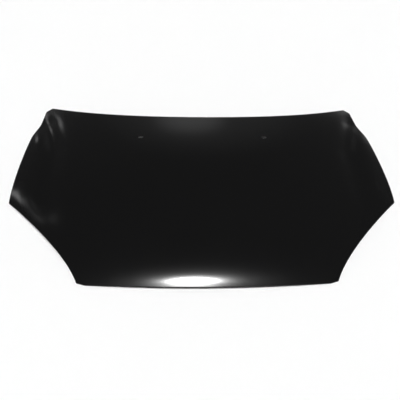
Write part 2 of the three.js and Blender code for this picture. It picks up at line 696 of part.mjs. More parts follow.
for (const [side, hand] of [[1, "left"], [-1, "right"]]) {
  const x = side * HINGE.x;
  const low = HINGE.floor + FRAME_SHEET + SEAT_GAP;
  const ends = { front: HINGE.y - HINGE.pitch / 2, rear: HINGE.y + HINGE.pitch / 2 };
  const holes = Object.values(ends).map((y) => disc(x, y, HINGE.hole));
  add(`hinge_reinforcement_${hand}`, plate(x, HINGE.y, low, HINGE_PLATE, holes), COLOUR.plate);
  for (const [where, y] of Object.entries(ends)) {
    const seat = low + HINGE_PLATE.thickness + SEAT_GAP;
    add(`hinge_nut_${hand}_${where}`, weldNut(x, y, seat), COLOUR.zinc, bare);
  }
}

const latchLow = LATCH.floor + FRAME_SHEET + SEAT_GAP;
const legHoles = [-1, 1].map((side) => disc((side * STRIKER.pitch) / 2, LATCH.y, STRIKER.hole));
const latchSlots = [-1, 1].map((side) => slotShape(side * 44, LATCH.y, LATCH_PLATE.slot, 9));
const latchPlate = plate(0, LATCH.y, latchLow, LATCH_PLATE, [...legHoles, ...latchSlots]);
add("latch_reinforcement", latchPlate, COLOUR.plate);
add("striker", striker(latchLow + LATCH_PLATE.thickness), COLOUR.zinc, bare);

const sideBonds = SIDE_POCKETS.map(bondPoints);
const bonds = [...bondPoints(CENTRE_POCKET), ...withMirror(sideBonds).flat()];
bonds.forEach((p, i) => {
  const solid = toManifold(masticPad(p));
  add(`mastic_pad_${String(i + 1).padStart(2, "0")}`, solid, COLOUR.mastic, { roughness: 0.9, metalness: 0 });
});

export default root;
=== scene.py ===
"""Looks of a car bonnet: the smooth hemmed skin, the pressed inner frame and its fittings."""

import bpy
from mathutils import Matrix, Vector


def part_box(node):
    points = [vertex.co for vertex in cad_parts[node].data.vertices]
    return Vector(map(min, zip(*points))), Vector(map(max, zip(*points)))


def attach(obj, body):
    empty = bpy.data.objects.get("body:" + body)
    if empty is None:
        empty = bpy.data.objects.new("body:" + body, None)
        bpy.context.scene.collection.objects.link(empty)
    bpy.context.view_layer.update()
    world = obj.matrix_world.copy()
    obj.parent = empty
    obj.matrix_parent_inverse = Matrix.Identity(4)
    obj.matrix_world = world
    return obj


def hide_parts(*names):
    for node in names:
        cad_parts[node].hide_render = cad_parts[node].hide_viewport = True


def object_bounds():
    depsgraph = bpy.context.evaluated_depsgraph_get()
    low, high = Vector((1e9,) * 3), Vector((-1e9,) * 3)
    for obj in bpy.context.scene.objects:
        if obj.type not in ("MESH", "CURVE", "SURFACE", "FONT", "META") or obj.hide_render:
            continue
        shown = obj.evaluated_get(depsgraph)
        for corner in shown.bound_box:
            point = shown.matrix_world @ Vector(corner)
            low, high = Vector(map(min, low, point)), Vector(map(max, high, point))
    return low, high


bl_info = {
    "name": "Car bonnet",
    "version": (1, 0, 0),
    "blender": (4, 5, 0),
    "location": "3D View > Sidebar > Bonnet",
    "description": "Builds the looks of a black car bonnet round its packed solids",
    "category": "Object",
}

import math

import bmesh
import bpy
import numpy as np
from bpy.props import FloatProperty, FloatVectorProperty, IntProperty, PointerProperty
from mathutils import Matrix, Vector
from mathutils.geometry import delaunay_2d_cdt
from mathutils.kdtree import KDTree

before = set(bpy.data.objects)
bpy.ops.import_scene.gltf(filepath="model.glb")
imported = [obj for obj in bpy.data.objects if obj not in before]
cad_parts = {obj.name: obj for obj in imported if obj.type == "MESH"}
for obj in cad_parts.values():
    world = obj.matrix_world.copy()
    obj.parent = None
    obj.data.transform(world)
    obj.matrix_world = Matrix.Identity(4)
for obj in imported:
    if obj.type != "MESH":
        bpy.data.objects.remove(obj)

MM = 0.001
UP = (0.0, 0.0, 1.0)
QUARTERS = ((-1, -1), (1, -1), (1, 1), (-1, 1))
SHARP = math.radians(35.0)
SHARP_ON_CURVES = math.radians(40.0)
ROW_SHARE = 0.866

# Outline in plan, millimetres, the car's left half.
NOSE_Y = -460.0
NOSE_BOW = 20.0
REAR_CENTRE_Y = 305.0
FRONT_CORNER_IN = np.array((397.0, -440.0))
FRONT_CORNER = np.array((425.0, -431.0))
TIP = np.array((700.0, -84.0))
LAMP_CUT_PULL = np.array((463.0, -337.0))
NOTCH_FRONT = np.array((671.0, 256.0))
NOTCH_REAR = np.array((647.0, 372.0))
REAR_CORNER_OUT = np.array((642.0, 442.0))
REAR_CORNER = np.array((617.0, 460.0))
WING_PULLS = ((-1, 104), (10, -70))
NOTCH_PULLS = ((-9, 44), (1, -54))
SCUTTLE_SQUARE = 3.1e-4
SCUTTLE_FOURTH = 2.5e-10

# Height of the skin.
HALF_WIDTH = 700.0
SUMMIT = 100.0
SUMMIT_Y = 67.0
ARCH = 2.05e-4
NOSE_DROP = 29.3
NOSE_REACH = 70.0
CROWN_SQUARE = 70.0
CROWN_FOURTH = 12.0
SWAGE_DEPTH = 6.5
SWAGE_DEPTH_FRONT = 2.5
SWAGE_WIDTH = 34.0
SWAGE_X = 560.0
SWAGE_TURN_Y = 150.0
SWAGE_TURN = 0.31
SWAGE_FADE = 0.75
CREST_RISE = 4.5
CREST_X = 640.0
CREST_WIDTH = 46.0
LAMP_ROLL = 9.0
LAMP_ROLL_REACH = 30.0

# Sections across the sheets.
SKIN = 0.8
HEM_TOP = 2.1
HEM_UNDER = 2.9
HEM_WIDTH = 11.0
CORNER_RUN = 24.0
JET_X = 236.0
JET_Y = 181.0
JET_LENGTH = 20.0
JET_WIDTH = 11.0
JET_RUN = (JET_LENGTH - JET_WIDTH) / 2.0
LIP_WIDTH = 1.5
LIP_ROLL = 0.5
LIP_RUN = 5.5
LIP_EDGES = (-0.1, 1.7)
SLOT_CLEAR = 4.0
EDGE_RAILS = (3.5, 6.5, HEM_WIDTH)
ON_SKIN = 0.03

# The inner frame, one pressing.
SEAT_GAP = 0.3
FRAME_SHEET = 0.7
FLANGE_TOP = SKIN + SEAT_GAP
FLANGE_UNDER = FLANGE_TOP + FRAME_SHEET
FLANGE_SETBACK = 1.6
WALL_HEAD = 11.6
WALL_FOOT = 23.5
WALL_SHEET = 0.8
BEND = 1.2
FRAME_DEPTH = 22.0
FRAME_FLOOR_Z = 1.5
FLOOR_BLEND = 12.0
POCKET_TOP = SKIN + 3.7
POCKET_UNDER = POCKET_TOP + FRAME_SHEET
POCKET_WALL = 10.0
POCKET_FLANGE = 13.0
POCKET_CORNER = 34.0
POCKET_MID_FLANGE = 16.0
CENTRE_POCKET = ((-95, -302), (95, -302), (172, -98), (-172, -98))
SIDE_POCKETS = (
    ((32, -38), (200, -38), (322, 232), (32, 216)),
    ((176, -316), (338, -334), (552, -98), (262, -98)),
    ((286, -36), (596, -36), (586, 150), (522, 256), (402, 240)),
)
HINGE = {"x": 588.0, "y": 345.0, "pitch": 50.0, "hole": 4.5, "width": 44.0, "length": 84.0, "floor": 1.6}
HINGE_CORNER = 10.0
LATCH = {"y": -384.0, "hole": 4.6, "width": 132.0, "length": 54.0, "floor": 26.0}
LATCH_CORNER = 12.0
PAD_WALL = 8.0
DRAIN_RADIUS = 8.0
DRAIN_HOLES = ((60, 254), (340, 290), (470, 322), (634, 40), (250, -372), (524, -190))
BUFFER_HOLE = (388, -396)
BUFFER_RADIUS = 6.5
PROP_SLOT = (-628.0, -30.0, 18.0, 11.0)
BEADS = (
    ((148, -272), (202, -136), 18.0),
    ((258, -8), (298, 86), 18.0),
    ((312, 118), (350, 206), 18.0),
    ((630, 100), (624, 190), 16.0),
    ((122, 256), (232, 267), 18.0),
)
BEAD_RISE = 4.0
BEAD_WALL = 3.0

# Lines of points along every bend of the frame, and what its lattice keeps clear of.
RING_OFFSETS = np.array((-1.3, -0.5, 0.3, 1.1, 2.1))
LEANING_OFFSETS = -RING_OFFSETS[::-1]
BEAD_RINGS = np.linspace(-1.3, 5.1, 9)
MID_FLANGE = 6.0
MID_WALL = 17.5
FRAME_STEP = 5.0
FRAME_LATTICE = 14.0
CLEAR_OF_RIM = 6.0
CLEAR_OF_FOOT = 4.0
CLEAR_OF_RINGS = 3.0
CLEAR_OF_HOLE = 3.5

# Fittings.
STRIKER_WIRE = 4.0
STRIKER_BEND = 11.0
STRIKER_PITCH = 46.0
STRIKER_HEAD = 6.4
STRIKER_HEAD_HEIGHT = 3.0
NUT_ACROSS = 13.0
NUT_HEIGHT = 6.5
NUT_FLANGE = 8.6
NUT_FLANGE_HEIGHT = 1.6
NUT_BORE = 3.4
NUT_EASE = 0.15
THREAD_PITCH = 1.25
THREAD_DEPTH = 0.35
MASTIC_RADIUS = 5.4
MASTIC_HEIGHT = 2.9
WELD_RADIUS = 3.0
WELD_RIM = 0.12
WELD_DISH = 0.03
WELD_FOOT = 0.01

# Where the plates are spot welded, from each plate's middle.
HINGE_WELDS = [(x, y) for x in (-12.0, 12.0) for y in (-33.0, 0.0, 33.0)]
LATCH_WELDS = [(x, y) for x in (-33.0, 0.0, 33.0) for y in (-13.5, 13.5)]

# Studio: a big floor just under the rim, and a pale wall that fades into the ceiling.
FLOOR_REACH = 30.0
FLOOR_Z = -0.0006
WALL_TOP = math.radians(9.0)
WALL_FADE = math.radians(12.5)
WALL_LIGHT = 0.97
CEILING_LIGHT = 0.068

# Soft cards round the studio: azimuth from +Y towards +X, elevation, radius and edge in degrees,
# and strength.
CARDS = (
    (180.0, 62.5, 2.5, 3.0, 24.0),
    (180.0, 73.0, 6.0, 12.0, 0.12),
    (1.0, 28.5, 1.5, 5.5, 0.42),
    (3.0, 25.0, 1.0, 18.0, 0.1),
    (-27.0, 19.0, 0.5, 2.5, 1.3),
    (-52.5, 26.0, 0.5, 2.4, 2.4),
    (-54.5, 29.5, 0.5, 2.4, 2.6),
    (-56.0, 33.0, 0.5, 2.4, 2.0),
    (-55.0, 37.5, 0.5, 2.6, 1.2),
    (-52.5, 41.5, 0.5, 2.6, 0.6),
    (-47.0, 47.0, 0.5, 2.6, 0.3),
    (21.0, 12.5, 0.5, 2.4, 0.55),
    (47.0, 29.0, 0.5, 2.5, 0.08),
)


def smooth_step(low, high, value):
    share = np.clip((value - low) / (high - low), 0.0, 1.0)
    return share * share * (3.0 - 2.0 * share)


def lamp_cut_distance(side, y):
    along = (FRONT_CORNER - TIP) / np.linalg.norm(FRONT_CORNER - TIP)
    return np.maximum(0.0, (side - TIP[0]) * along[1] - (y - TIP[1]) * along[0])


def bare_dome(x, y):
    """The plain dome that the frame follows, before the rim is set down on the ground plane."""
    across = np.abs(x) / HALF_WIDTH
    arch = ARCH * (y - SUMMIT_Y) ** 2
    nose = NOSE_DROP * np.exp(-(y - NOSE_Y) / NOSE_REACH)
    return SUMMIT - arch - nose - CROWN_SQUARE * across**2 - CROWN_FOURTH * across**4


RIM_LIFT = float(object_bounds()[1][2]) / MM - float(bare_dome(np.array(0.0), np.array(SUMMIT_Y)))


def dome_height(x, y):
    return bare_dome(x, y) + RIM_LIFT


def skin_height(x, y):
    """The skin: the dome with a valley inboard of each wing crest, and rolled headlamp cuts."""
    side = np.abs(x)
    valley_x = SWAGE_X + SWAGE_TURN * np.maximum(0.0, y - SWAGE_TURN_Y)
    deepest = SWAGE_DEPTH_FRONT + (SWAGE_DEPTH - SWAGE_DEPTH_FRONT) * smooth_step(-120, 200, y)
    depth = deepest * smooth_step(-230, -60, y) * (1.0 - SWAGE_FADE * smooth_step(340, 460, y))
    valley = depth * np.exp(-(((side - valley_x) / SWAGE_WIDTH) ** 2))
    rise = CREST_RISE * smooth_step(-190, -20, y) * (1.0 - smooth_step(200, 360, y))
    crest = rise * np.exp(-(((side - CREST_X) / CREST_WIDTH) ** 2))
    roll = LAMP_ROLL * smooth_step(-470, -250, y) * np.exp(-lamp_cut_distance(side, y) / LAMP_ROLL_REACH)
    return dome_height(x, y) - valley + crest - roll


def slopes(height, points):
    x, y = points[:, 0], points[:, 1]
    step = 0.5
    slope_x = (height(x + step, y) - height(x - step, y)) / (2 * step)
    slope_y = (height(x, y + step) - height(x, y - step)) / (2 * step)
    return slope_x, slope_y


def height_below(points, depth, height=skin_height):
    """Height of a surface that lies the given depth below another, measured square to it."""
    slope_x, slope_y = slopes(height, points)
    return height(points[:, 0], points[:, 1]) - depth * np.sqrt(1.0 + slope_x**2 + slope_y**2)


def floor_under(points):
    """The frame's floor follows the dome, and levels out where the rim comes near the ground."""
    gap = height_below(points, FRAME_DEPTH, dome_height) - FRAME_FLOOR_Z
    return FRAME_FLOOR_Z + (gap + np.hypot(gap, FLOOR_BLEND)) / 2.0


def skin_normals(points):
    slope_x, slope_y = slopes(skin_height, points)
    normals = np.stack([-slope_x, -slope_y, np.ones(len(points))], 1)
    return normals / np.linalg.norm(normals, axis=1)[:, None]


def bezier(points, steps=60):
    """Points along a Bezier curve of any degree, both ends included."""
    share = np.linspace(0.0, 1.0, steps + 1)[:, None]
    layers = [np.broadcast_to(np.asarray(p, float), (steps + 1, 2)) for p in points]
    while len(layers) > 1:
        layers = [a + (b - a) * share for a, b in zip(layers, layers[1:])]
    return layers[0]


def half_outline():
    """The +X half of the outline as open paths, from the middle of the nose to that of the rear edge."""
    x = np.linspace(0.0, FRONT_CORNER_IN[0], 80)
    nose = np.stack([x, NOSE_Y + NOSE_BOW * (x / FRONT_CORNER_IN[0]) ** 2], 1)
    x = np.linspace(REAR_CORNER[0], 0.0, 110)
    sweep = SCUTTLE_SQUARE * x**2 + SCUTTLE_FOURTH * x**4
    rear = np.stack([x, REAR_CENTRE_Y + (REAR_CORNER[1] - REAR_CENTRE_Y) * sweep / sweep[0]], 1)
    return [
        nose,
        bezier([FRONT_CORNER_IN, FRONT_CORNER]),
        bezier([FRONT_CORNER, LAMP_CUT_PULL, TIP]),
        bezier([TIP, TIP + WING_PULLS[0], NOTCH_FRONT + WING_PULLS[1], NOTCH_FRONT]),
        bezier([NOTCH_FRONT, NOTCH_FRONT + NOTCH_PULLS[0], NOTCH_REAR + NOTCH_PULLS[1], NOTCH_REAR]),
        bezier([NOTCH_REAR, REAR_CORNER_OUT]),
        bezier([REAR_CORNER_OUT, REAR_CORNER]),
        rear,
    ]


def even_steps(path, step):
    """An open path with its points spaced evenly, its first one kept and its last one left out."""
    run = np.concatenate([[0.0], np.cumsum(np.linalg.norm(np.diff(path, axis=0), axis=1))])
    at = np.linspace(0.0, run[-1], max(1, int(round(run[-1] / step))) + 1)[:-1]
    return np.stack([np.interp(at, run, path[:, axis]) for axis in (0, 1)], 1)


def outline(step):
    """The whole outline, anticlockwise."""
    paths = half_outline()
    half = np.concatenate([even_steps(path, step) for path in paths])
    mirrored = half[1:][::-1] * (-1.0, 1.0)
    return np.concatenate([half, paths[-1][-1:], mirrored])


def eased(loop, radius, step):
    """A closed loop with its corners rounded to about the given radius."""
    for _ in range(max(1, int(round((radius / step) ** 2 / 4.0)))):
        loop = (np.roll(loop, 1, 0) + 2.0 * loop + np.roll(loop, -1, 0)) / 4.0
    return loop


def inset(loop, distance):
    """Moves each point of an anticlockwise loop inwards, square to the loop."""
    along = np.roll(loop, -1, 0) - np.roll(loop, 1, 0)
    along = along / np.linalg.norm(along, axis=1)[:, None]
    return loop + distance * np.stack([-along[:, 1], along[:, 0]], 1)


def inside(points, loop):
    """Which points lie inside a closed loop."""
    found = np.zeros(len(points), bool)
    for a, b in zip(loop, np.roll(loop, -1, 0)):
        crosses = (a[1] > points[:, 1]) != (b[1] > points[:, 1])
        with np.errstate(divide="ignore", invalid="ignore"):
            at = a[0] + (points[:, 1] - a[1]) * (b[0] - a[0]) / (b[1] - a[1])
        found ^= crosses & (points[:, 0] < at)
    return found


def slot_loop(x, y, length, width, steps=12):
    """A slot with round ends, anticlockwise."""
    run = (length - width) / 2.0
    turn = np.linspace(-math.pi / 2, math.pi / 2, steps + 1)
    end = np.stack([np.cos(turn), np.sin(turn)], 1) * width / 2.0
    return np.concatenate([end + (x + run, y), -end + (x - run, y)])


def from_slot(points, slot):
    """How far each point lies from a jet slot's middle line, and its offset from the slot's middle."""
    off = points - slot.mean(0)
    return np.hypot(np.maximum(0.0, np.abs(off[:, 0]) - JET_RUN), off[:, 1]), off


def circle_loop(x, y, radius, steps=28):
    turn = np.arange(steps) * 2.0 * math.pi / steps
    return np.stack([x + radius * np.cos(turn), y + radius * np.sin(turn)], 1)


def mitred(corners, distance):
    """An anticlockwise polygon's corners with its sides moved inwards."""
    corners = np.asarray(corners, float)
    after = np.roll(corners, -1, 0) - corners
    after = after / np.linalg.norm(after, axis=1)[:, None]
    normal = np.stack([-after[:, 1], after[:, 0]], 1)
    mitre = normal + np.roll(normal, 1, 0)
    mitre = mitre / np.linalg.norm(mitre, axis=1)[:, None]
    return corners + mitre * (distance / (mitre * normal).sum(1))[:, None]


class Pressing:
    """A wall round a polygon with rounded corners, drawn from the frame's floor to a face of its own."""

    def __init__(self, corners, radius, wall, lean, face_under, face_top, rings, holes=()):
        self.radius = radius
        self.inner = mitred(corners, radius)
        self.wall = wall
        self.lean = lean
        self.face_under = face_under
        self.face_top = face_top
        self.rings = rings
        self.holes = holes

    def loop(self, inward, arc_steps=10):
        """The line that lies a distance inside the pressing's foot, anticlockwise."""
        along = np.roll(self.inner, -1, 0) - self.inner
        bearing = np.arctan2(-along[:, 0], along[:, 1])
        points = []
        for i, corner in enumerate(self.inner):
            sweep = (bearing[i] - bearing[i - 1]) % (2.0 * math.pi)
            turn = bearing[i - 1] + sweep * np.linspace(0.0, 1.0, arc_steps + 1)
            points.append(corner + (self.radius - inward) * np.stack([np.cos(turn), np.sin(turn)], 1))
        loop = np.concatenate(points)
        closed = np.concatenate([loop, loop[:1]])
        return np.concatenate([even_steps(closed[i : i + 2], FRAME_STEP) for i in range(len(loop))])

    def inward(self, points):
        """How far inside the pressing's foot each point lies."""
        nearest = np.full(len(points), np.inf)
        for start, end in zip(self.inner, np.roll(self.inner, -1, 0)):
            along = end - start
            share = np.clip(((points - start) @ along) / (along @ along), 0.0, 1.0)
            nearest = np.minimum(nearest, np.linalg.norm(points - start - share[:, None] * along, axis=1))
        return self.radius + np.where(inside(points, self.inner), nearest, -nearest)


def ramp(distance, start, run):
    """0 before a wall, 1 past it and straight between, with rounded bends at both ends."""

    def knee(t):
        bent = (t + BEND) ** 2 / (4.0 * BEND)
        return np.where(t < -BEND, 0.0, np.where(t > BEND, t, bent))

    return (knee(distance - start) - knee(distance - start - run)) / run


def rectangle(x, y, width, length):
    return [(x + i * width / 2.0, y + j * length / 2.0) for i, j in QUARTERS]


def with_mirror(corners):
    """A polygon and its mirror image across the middle of the car, both anticlockwise."""
    return [list(corners), [(-x, y) for x, y in reversed(corners)]]


def flat_pad(x, y, width, length, corner, lean, height, rings, holes):
    """A pad with a flat face at a height of its own, for a plate to sit on."""
    corners = rectangle(x, y, width + 2 * PAD_WALL, length + 2 * PAD_WALL)
    return Pressing(
        corners, corner + PAD_WALL, PAD_WALL, lean, lambda p: np.full(len(p), height),
        lambda p: np.full(len(p), height + FRAME_SHEET), rings, holes,
    )


def frame_pressings():
    """The pockets, the hinge and latch pads and the beads."""
    pressings = []
    rings = [*RING_OFFSETS, POCKET_WALL / 2.0, *(POCKET_WALL + RING_OFFSETS), POCKET_MID_FLANGE]
    for corners in [CENTRE_POCKET, *(loop for side in SIDE_POCKETS for loop in with_mirror(side))]:
        pressings.append(
            Pressing(
                corners, POCKET_CORNER, POCKET_WALL, 1, lambda p: height_below(p, POCKET_UNDER),
                lambda p: height_below(p, POCKET_TOP), rings,
            )
        )
    rings = [*LEANING_OFFSETS, PAD_WALL / 2.0, *(PAD_WALL + LEANING_OFFSETS)]
    for x in (-HINGE["x"], HINGE["x"]):
        y = HINGE["y"]
        holes = [circle_loop(x, y + end * HINGE["pitch"] / 2.0, HINGE["hole"]) for end in (-1, 1)]
        pressings.append(
            flat_pad(x, y, HINGE["width"], HINGE["length"], HINGE_CORNER, -1, HINGE["floor"], rings, holes)
        )
    y = LATCH["y"]
    rings = [*RING_OFFSETS, PAD_WALL / 2.0, *(PAD_WALL + RING_OFFSETS)]
    holes = [circle_loop(side * STRIKER_PITCH / 2.0, y, LATCH["hole"]) for side in (-1, 1)]
    pressings.append(
        flat_pad(0.0, y, LATCH["width"], LATCH["length"], LATCH_CORNER, 0, LATCH["floor"], rings, holes)
    )
    for start, end, width in BEADS:
        start, end = np.array(start, float), np.array(end, float)
        along = (end - start) / np.linalg.norm(end - start) * width / 2.0
        out = np.array((along[1], -along[0]))
        corners = [start - along + out, end + along + out, end + along - out, start - along - out]
        for loop in with_mirror([tuple(c) for c in corners]):
            pressings.append(
                Pressing(
                    loop, width / 2.0 - 1.0, BEAD_WALL, 1, lambda p: floor_under(p) + BEAD_RISE,
                    lambda p: floor_under(p) + BEAD_RISE + FRAME_SHEET, BEAD_RINGS,
                )
            )
    return pressings


def frame_holes():
    """Drain and buffer holes on both sides, and the slot that the prop stays in."""
    holes = []
    for side in (-1, 1):
        holes += [circle_loop(side * x, y, DRAIN_RADIUS) for x, y in DRAIN_HOLES]
        holes.append(circle_loop(side * BUFFER_HOLE[0], BUFFER_HOLE[1], BUFFER_RADIUS))
    return [*holes, slot_loop(*PROP_SLOT)]


def fill(border, gaps, bends, loose):
    """Triangles inside a border and outside its gaps, over loose points, with every line kept as edges."""
    lines = [border, *gaps, *bends]
    edges = []
    start = 0
    for line in lines:
        edges += [(start + i, start + (i + 1) % len(line)) for i in range(len(line))]
        start += len(line)
    points = [Vector(p) for p in np.concatenate([*lines, loose])]
    spots, _, cells, *_ = delaunay_2d_cdt(points, edges, [], 0, 1e-5)
    spots = np.array([tuple(p) for p in spots])
    cells = np.array([tuple(c) for c in cells])
    middles = spots[cells].mean(1)
    wanted = inside(middles, border)
    for gap in gaps:
        wanted &= ~inside(middles, gap)
    return spots, cells[wanted]


def lattice_points(spacing, rise):
    """A triangular lattice over the bonnet's box, with a distance between points and one between rows."""
    x = np.arange(-HALF_WIDTH, HALF_WIDTH, spacing)
    y = np.arange(NOSE_Y, -NOSE_Y, rise)
    lattice = np.stack(np.meshgrid(x, y), -1)
    lattice[1::2, :, 0] += spacing / 2.0
    return lattice.reshape(-1, 2)


def find(line, spots):
    """Index of each of a line's points among the triangulated ones."""
    return np.array([int(np.argmin(((spots - p) ** 2).sum(1))) for p in line])


def linked(name, mesh):
    piece = bpy.data.objects.new(name, mesh)
    bpy.context.scene.collection.objects.link(piece)
    return piece


def new_object(name, vertices, faces, material=None):
    mesh = bpy.data.meshes.new(name)
    mesh.from_pydata([tuple(v) for v in vertices], [], [tuple(int(i) for i in f) for f in faces])
    if material:
        mesh.materials.append(material)
    mesh.shade_smooth()
    return linked(name, mesh)


def join_doubles(mesh, distance):
    form = bmesh.new()
    form.from_mesh(mesh)
    bmesh.ops.remove_doubles(form, verts=form.verts, dist=distance)
    bmesh.ops.dissolve_degenerate(form, edges=form.edges, dist=distance)
    form.to_mesh(mesh)
    form.free()


def merged_copy(node, name, material):
    """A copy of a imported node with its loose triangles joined."""
    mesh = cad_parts[node].data.copy()
    mesh.name = name
    piece = linked(name, mesh)
    join_doubles(mesh, 1e-6)
    if mesh.has_custom_normals:
        with bpy.context.temp_override(object=piece, active_object=piece):
            bpy.ops.mesh.customdata_custom_splitnormals_clear()
    mesh.materials.clear()
    mesh.materials.append(material)
    return piece


def finish_modifiers(piece, angle):
    """Replaces a piece's mesh by its modified one, then shades it smooth below an angle."""
    made = bpy.data.meshes.new_from_object(piece.evaluated_get(bpy.context.evaluated_depsgraph_get()))
    made.name = piece.name
    piece.modifiers.clear()
    piece.data = made
    made.shade_smooth()
    made.set_sharp_from_angle(angle=angle)
    return piece


def box_foot(node, share=0.0):
    """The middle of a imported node's box in plan, at a share of its height."""
    low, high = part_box(node)
    return (low.x + high.x) / 2.0, (low.y + high.y) / 2.0, low.z + (high.z - low.z) * share


def seat(piece, slot, *nodes):
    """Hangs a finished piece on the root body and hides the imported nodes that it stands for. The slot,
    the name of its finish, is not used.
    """
    if nodes:
        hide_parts(*nodes)
    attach(piece, "root")


def turned(rows, turns):
    """Points and faces of a profile turned round Z. A row is a height and a radius, or radii by angle."""
    i = np.arange(turns)
    on = np.roll(i, -1)
    angles = i * 2.0 * math.pi / turns
    rings = []
    faces = []
    for upper, (radius, height) in enumerate(rows):
        reach = radius(angles, height) if callable(radius) else np.full(turns, radius)
        rings.append(np.stack([reach * np.cos(angles), reach * np.sin(angles), np.full(turns, height)], 1))
        a = upper * turns
        b = (upper + 1) % len(rows) * turns
        faces.append(np.stack([a + i, b + i, b + on, a + on], 1))
    return np.concatenate(rings), np.concatenate(faces)


def template(name, rows, turns, material, closed_on_axis=False):
    """A turned shape that is set on points, kept out of the scene."""
    points, faces = turned(rows, turns)
    if closed_on_axis:
        faces = faces[:-turns]
    piece = new_object(name, points * MM, faces, material)
    join_doubles(piece.data, 1e-7)
    piece.data.set_sharp_from_angle(angle=SHARP)
    bpy.context.scene.collection.objects.unlink(piece)
    return piece


class Wire:
    """A node socket that takes arithmetic, so that a pattern reads as a formula."""

    def __init__(self, tree, socket):
        self.tree = tree
        self.socket = socket

    def maths(self, operation, *values):
        return self.tree.node("ShaderNodeMath", dict(enumerate(values)), operation=operation)

    def __add__(self, other):
        return self.maths("ADD", self, other)

    __radd__ = __add__

    def __sub__(self, other):
        return self.maths("SUBTRACT", self, other)

    def __rsub__(self, other):
        return self.maths("SUBTRACT", other, self)

    def __mul__(self, other):
        return self.maths("MULTIPLY", self, other)

    __rmul__ = __mul__

    def above(self, low, high):
        """0 at the first value, 1 at the second, smooth between them."""
        limits = {"Value": self, "From Min": low, "From Max": high}
        return self.tree.node("ShaderNodeMapRange", limits, interpolation_type="SMOOTHSTEP")

    def spread(self, low, high):
        """Runs from the first value to the second as this one runs from 0 to 1."""
        return low + self * (high - low)


class Tree:
    """A shader or Geometry Nodes tree with one way to add a node to it."""

    def __init__(self, tree):
        self.tree = tree

    def node(self, kind, inputs=None, output=0, **settings):
        node = self.tree.nodes.new(kind)
        for key, value in settings.items():
            setattr(node, key, value)
        for key, value in (inputs or {}).items():
            self.feed(value, node.inputs[key])
        return Wire(self, node.outputs[output])

    def feed(self, value, socket):
        if isinstance(value, Wire):
            self.tree.links.new(value.socket, socket)
        else:
            socket.default_value = value


class Paint(Tree):
    """A material's tree, with short ways to its shader's sockets."""

    def __init__(self, name, metallic=0.0, ior=1.5):
        self.material = bpy.data.materials.new(name)
        self.material.use_nodes = True
        super().__init__(self.material.node_tree)
        self.shader = self.tree.nodes["Principled BSDF"]
        self.feed(metallic, self.shader.inputs["Metallic"])
        self.feed(ior, self.shader.inputs["IOR"])
        self.place = self.node("ShaderNodeTexCoord", output="Object")

    def noise(self, scale, detail=3.0, roughness=0.5, stretch=None):
        place = self.place
        if stretch:
            place = self.node("ShaderNodeMapping", {"Vector": place, "Scale": stretch})
        inputs = {"Vector": place, "Scale": scale, "Detail": detail, "Roughness": roughness}
        return self.node("ShaderNodeTexNoise", inputs)

    def cells(self, scale):
        return self.node("ShaderNodeTexVoronoi", {"Vector": self.place, "Scale": scale})

    def colour(self, share, low, high):
        """Mixes two colours by a share from 0 to 1 and sends the result to the base colour."""
        ends = {0: share, 6: (*low, 1.0), 7: (*high, 1.0)}
        mixed = self.node("ShaderNodeMix", ends, output=2, data_type="RGBA")
        self.feed(mixed, self.shader.inputs["Base Color"])

    def roughness(self, share, low, high):
        self.feed(share.spread(low, high), self.shader.inputs["Roughness"])

    def bump(self, *layers):
        """Stacks bumps, each a height from 0 to 1 and the distance in metres that 1 stands for."""
        inputs = {}
        for height, distance in layers:
            inputs.update(Height=height, Distance=distance, Strength=1.0)
            inputs["Normal"] = self.node("ShaderNodeBump", inputs)
        self.feed(inputs["Normal"], self.shader.inputs["Normal"])


class Recipe(Tree):
    """A Geometry Nodes tree with a geometry in and out and named inputs."""

    def __init__(self, name, **sockets):
        super().__init__(bpy.data.node_groups.new(name, "GeometryNodeTree"))
        interface = self.tree.interface
        interface.new_socket("Geometry", in_out="INPUT", socket_type="NodeSocketGeometry")
        for label, kind in sockets.items():
            interface.new_socket(label, in_out="INPUT", socket_type="NodeSocket" + kind)
        interface.new_socket("Geometry", in_out="OUTPUT", socket_type="NodeSocketGeometry")
        given = self.tree.nodes.new("NodeGroupInput")
        self.given = {socket.name: Wire(self, socket) for socket in given.outputs if socket.name}

    def end(self, shape, material):
        """Ends the tree in real geometry with its material."""
        real = self.node("GeometryNodeRealizeInstances", {"Geometry": shape})
        painted = self.node("GeometryNodeSetMaterial", {"Geometry": real, "Material": material})
        result = self.tree.nodes.new("NodeGroupOutput")
        self.feed(painted, result.inputs[0])

    def make(self, piece, angle, **values):
        """Runs the tree on a piece with values for its named inputs."""
        modifier = piece.modifiers.new(self.tree.name, "NODES")
        modifier.node_group = self.tree
        for item in self.tree.interface.items_tree:
            if item.in_out == "INPUT" and item.name in values:
                modifier[item.identifier] = values[item.name]
        made = finish_modifiers(piece, angle)
        for value in values.values():
            if isinstance(value, bpy.types.Object):
                bpy.data.objects.remove(value)
        return made


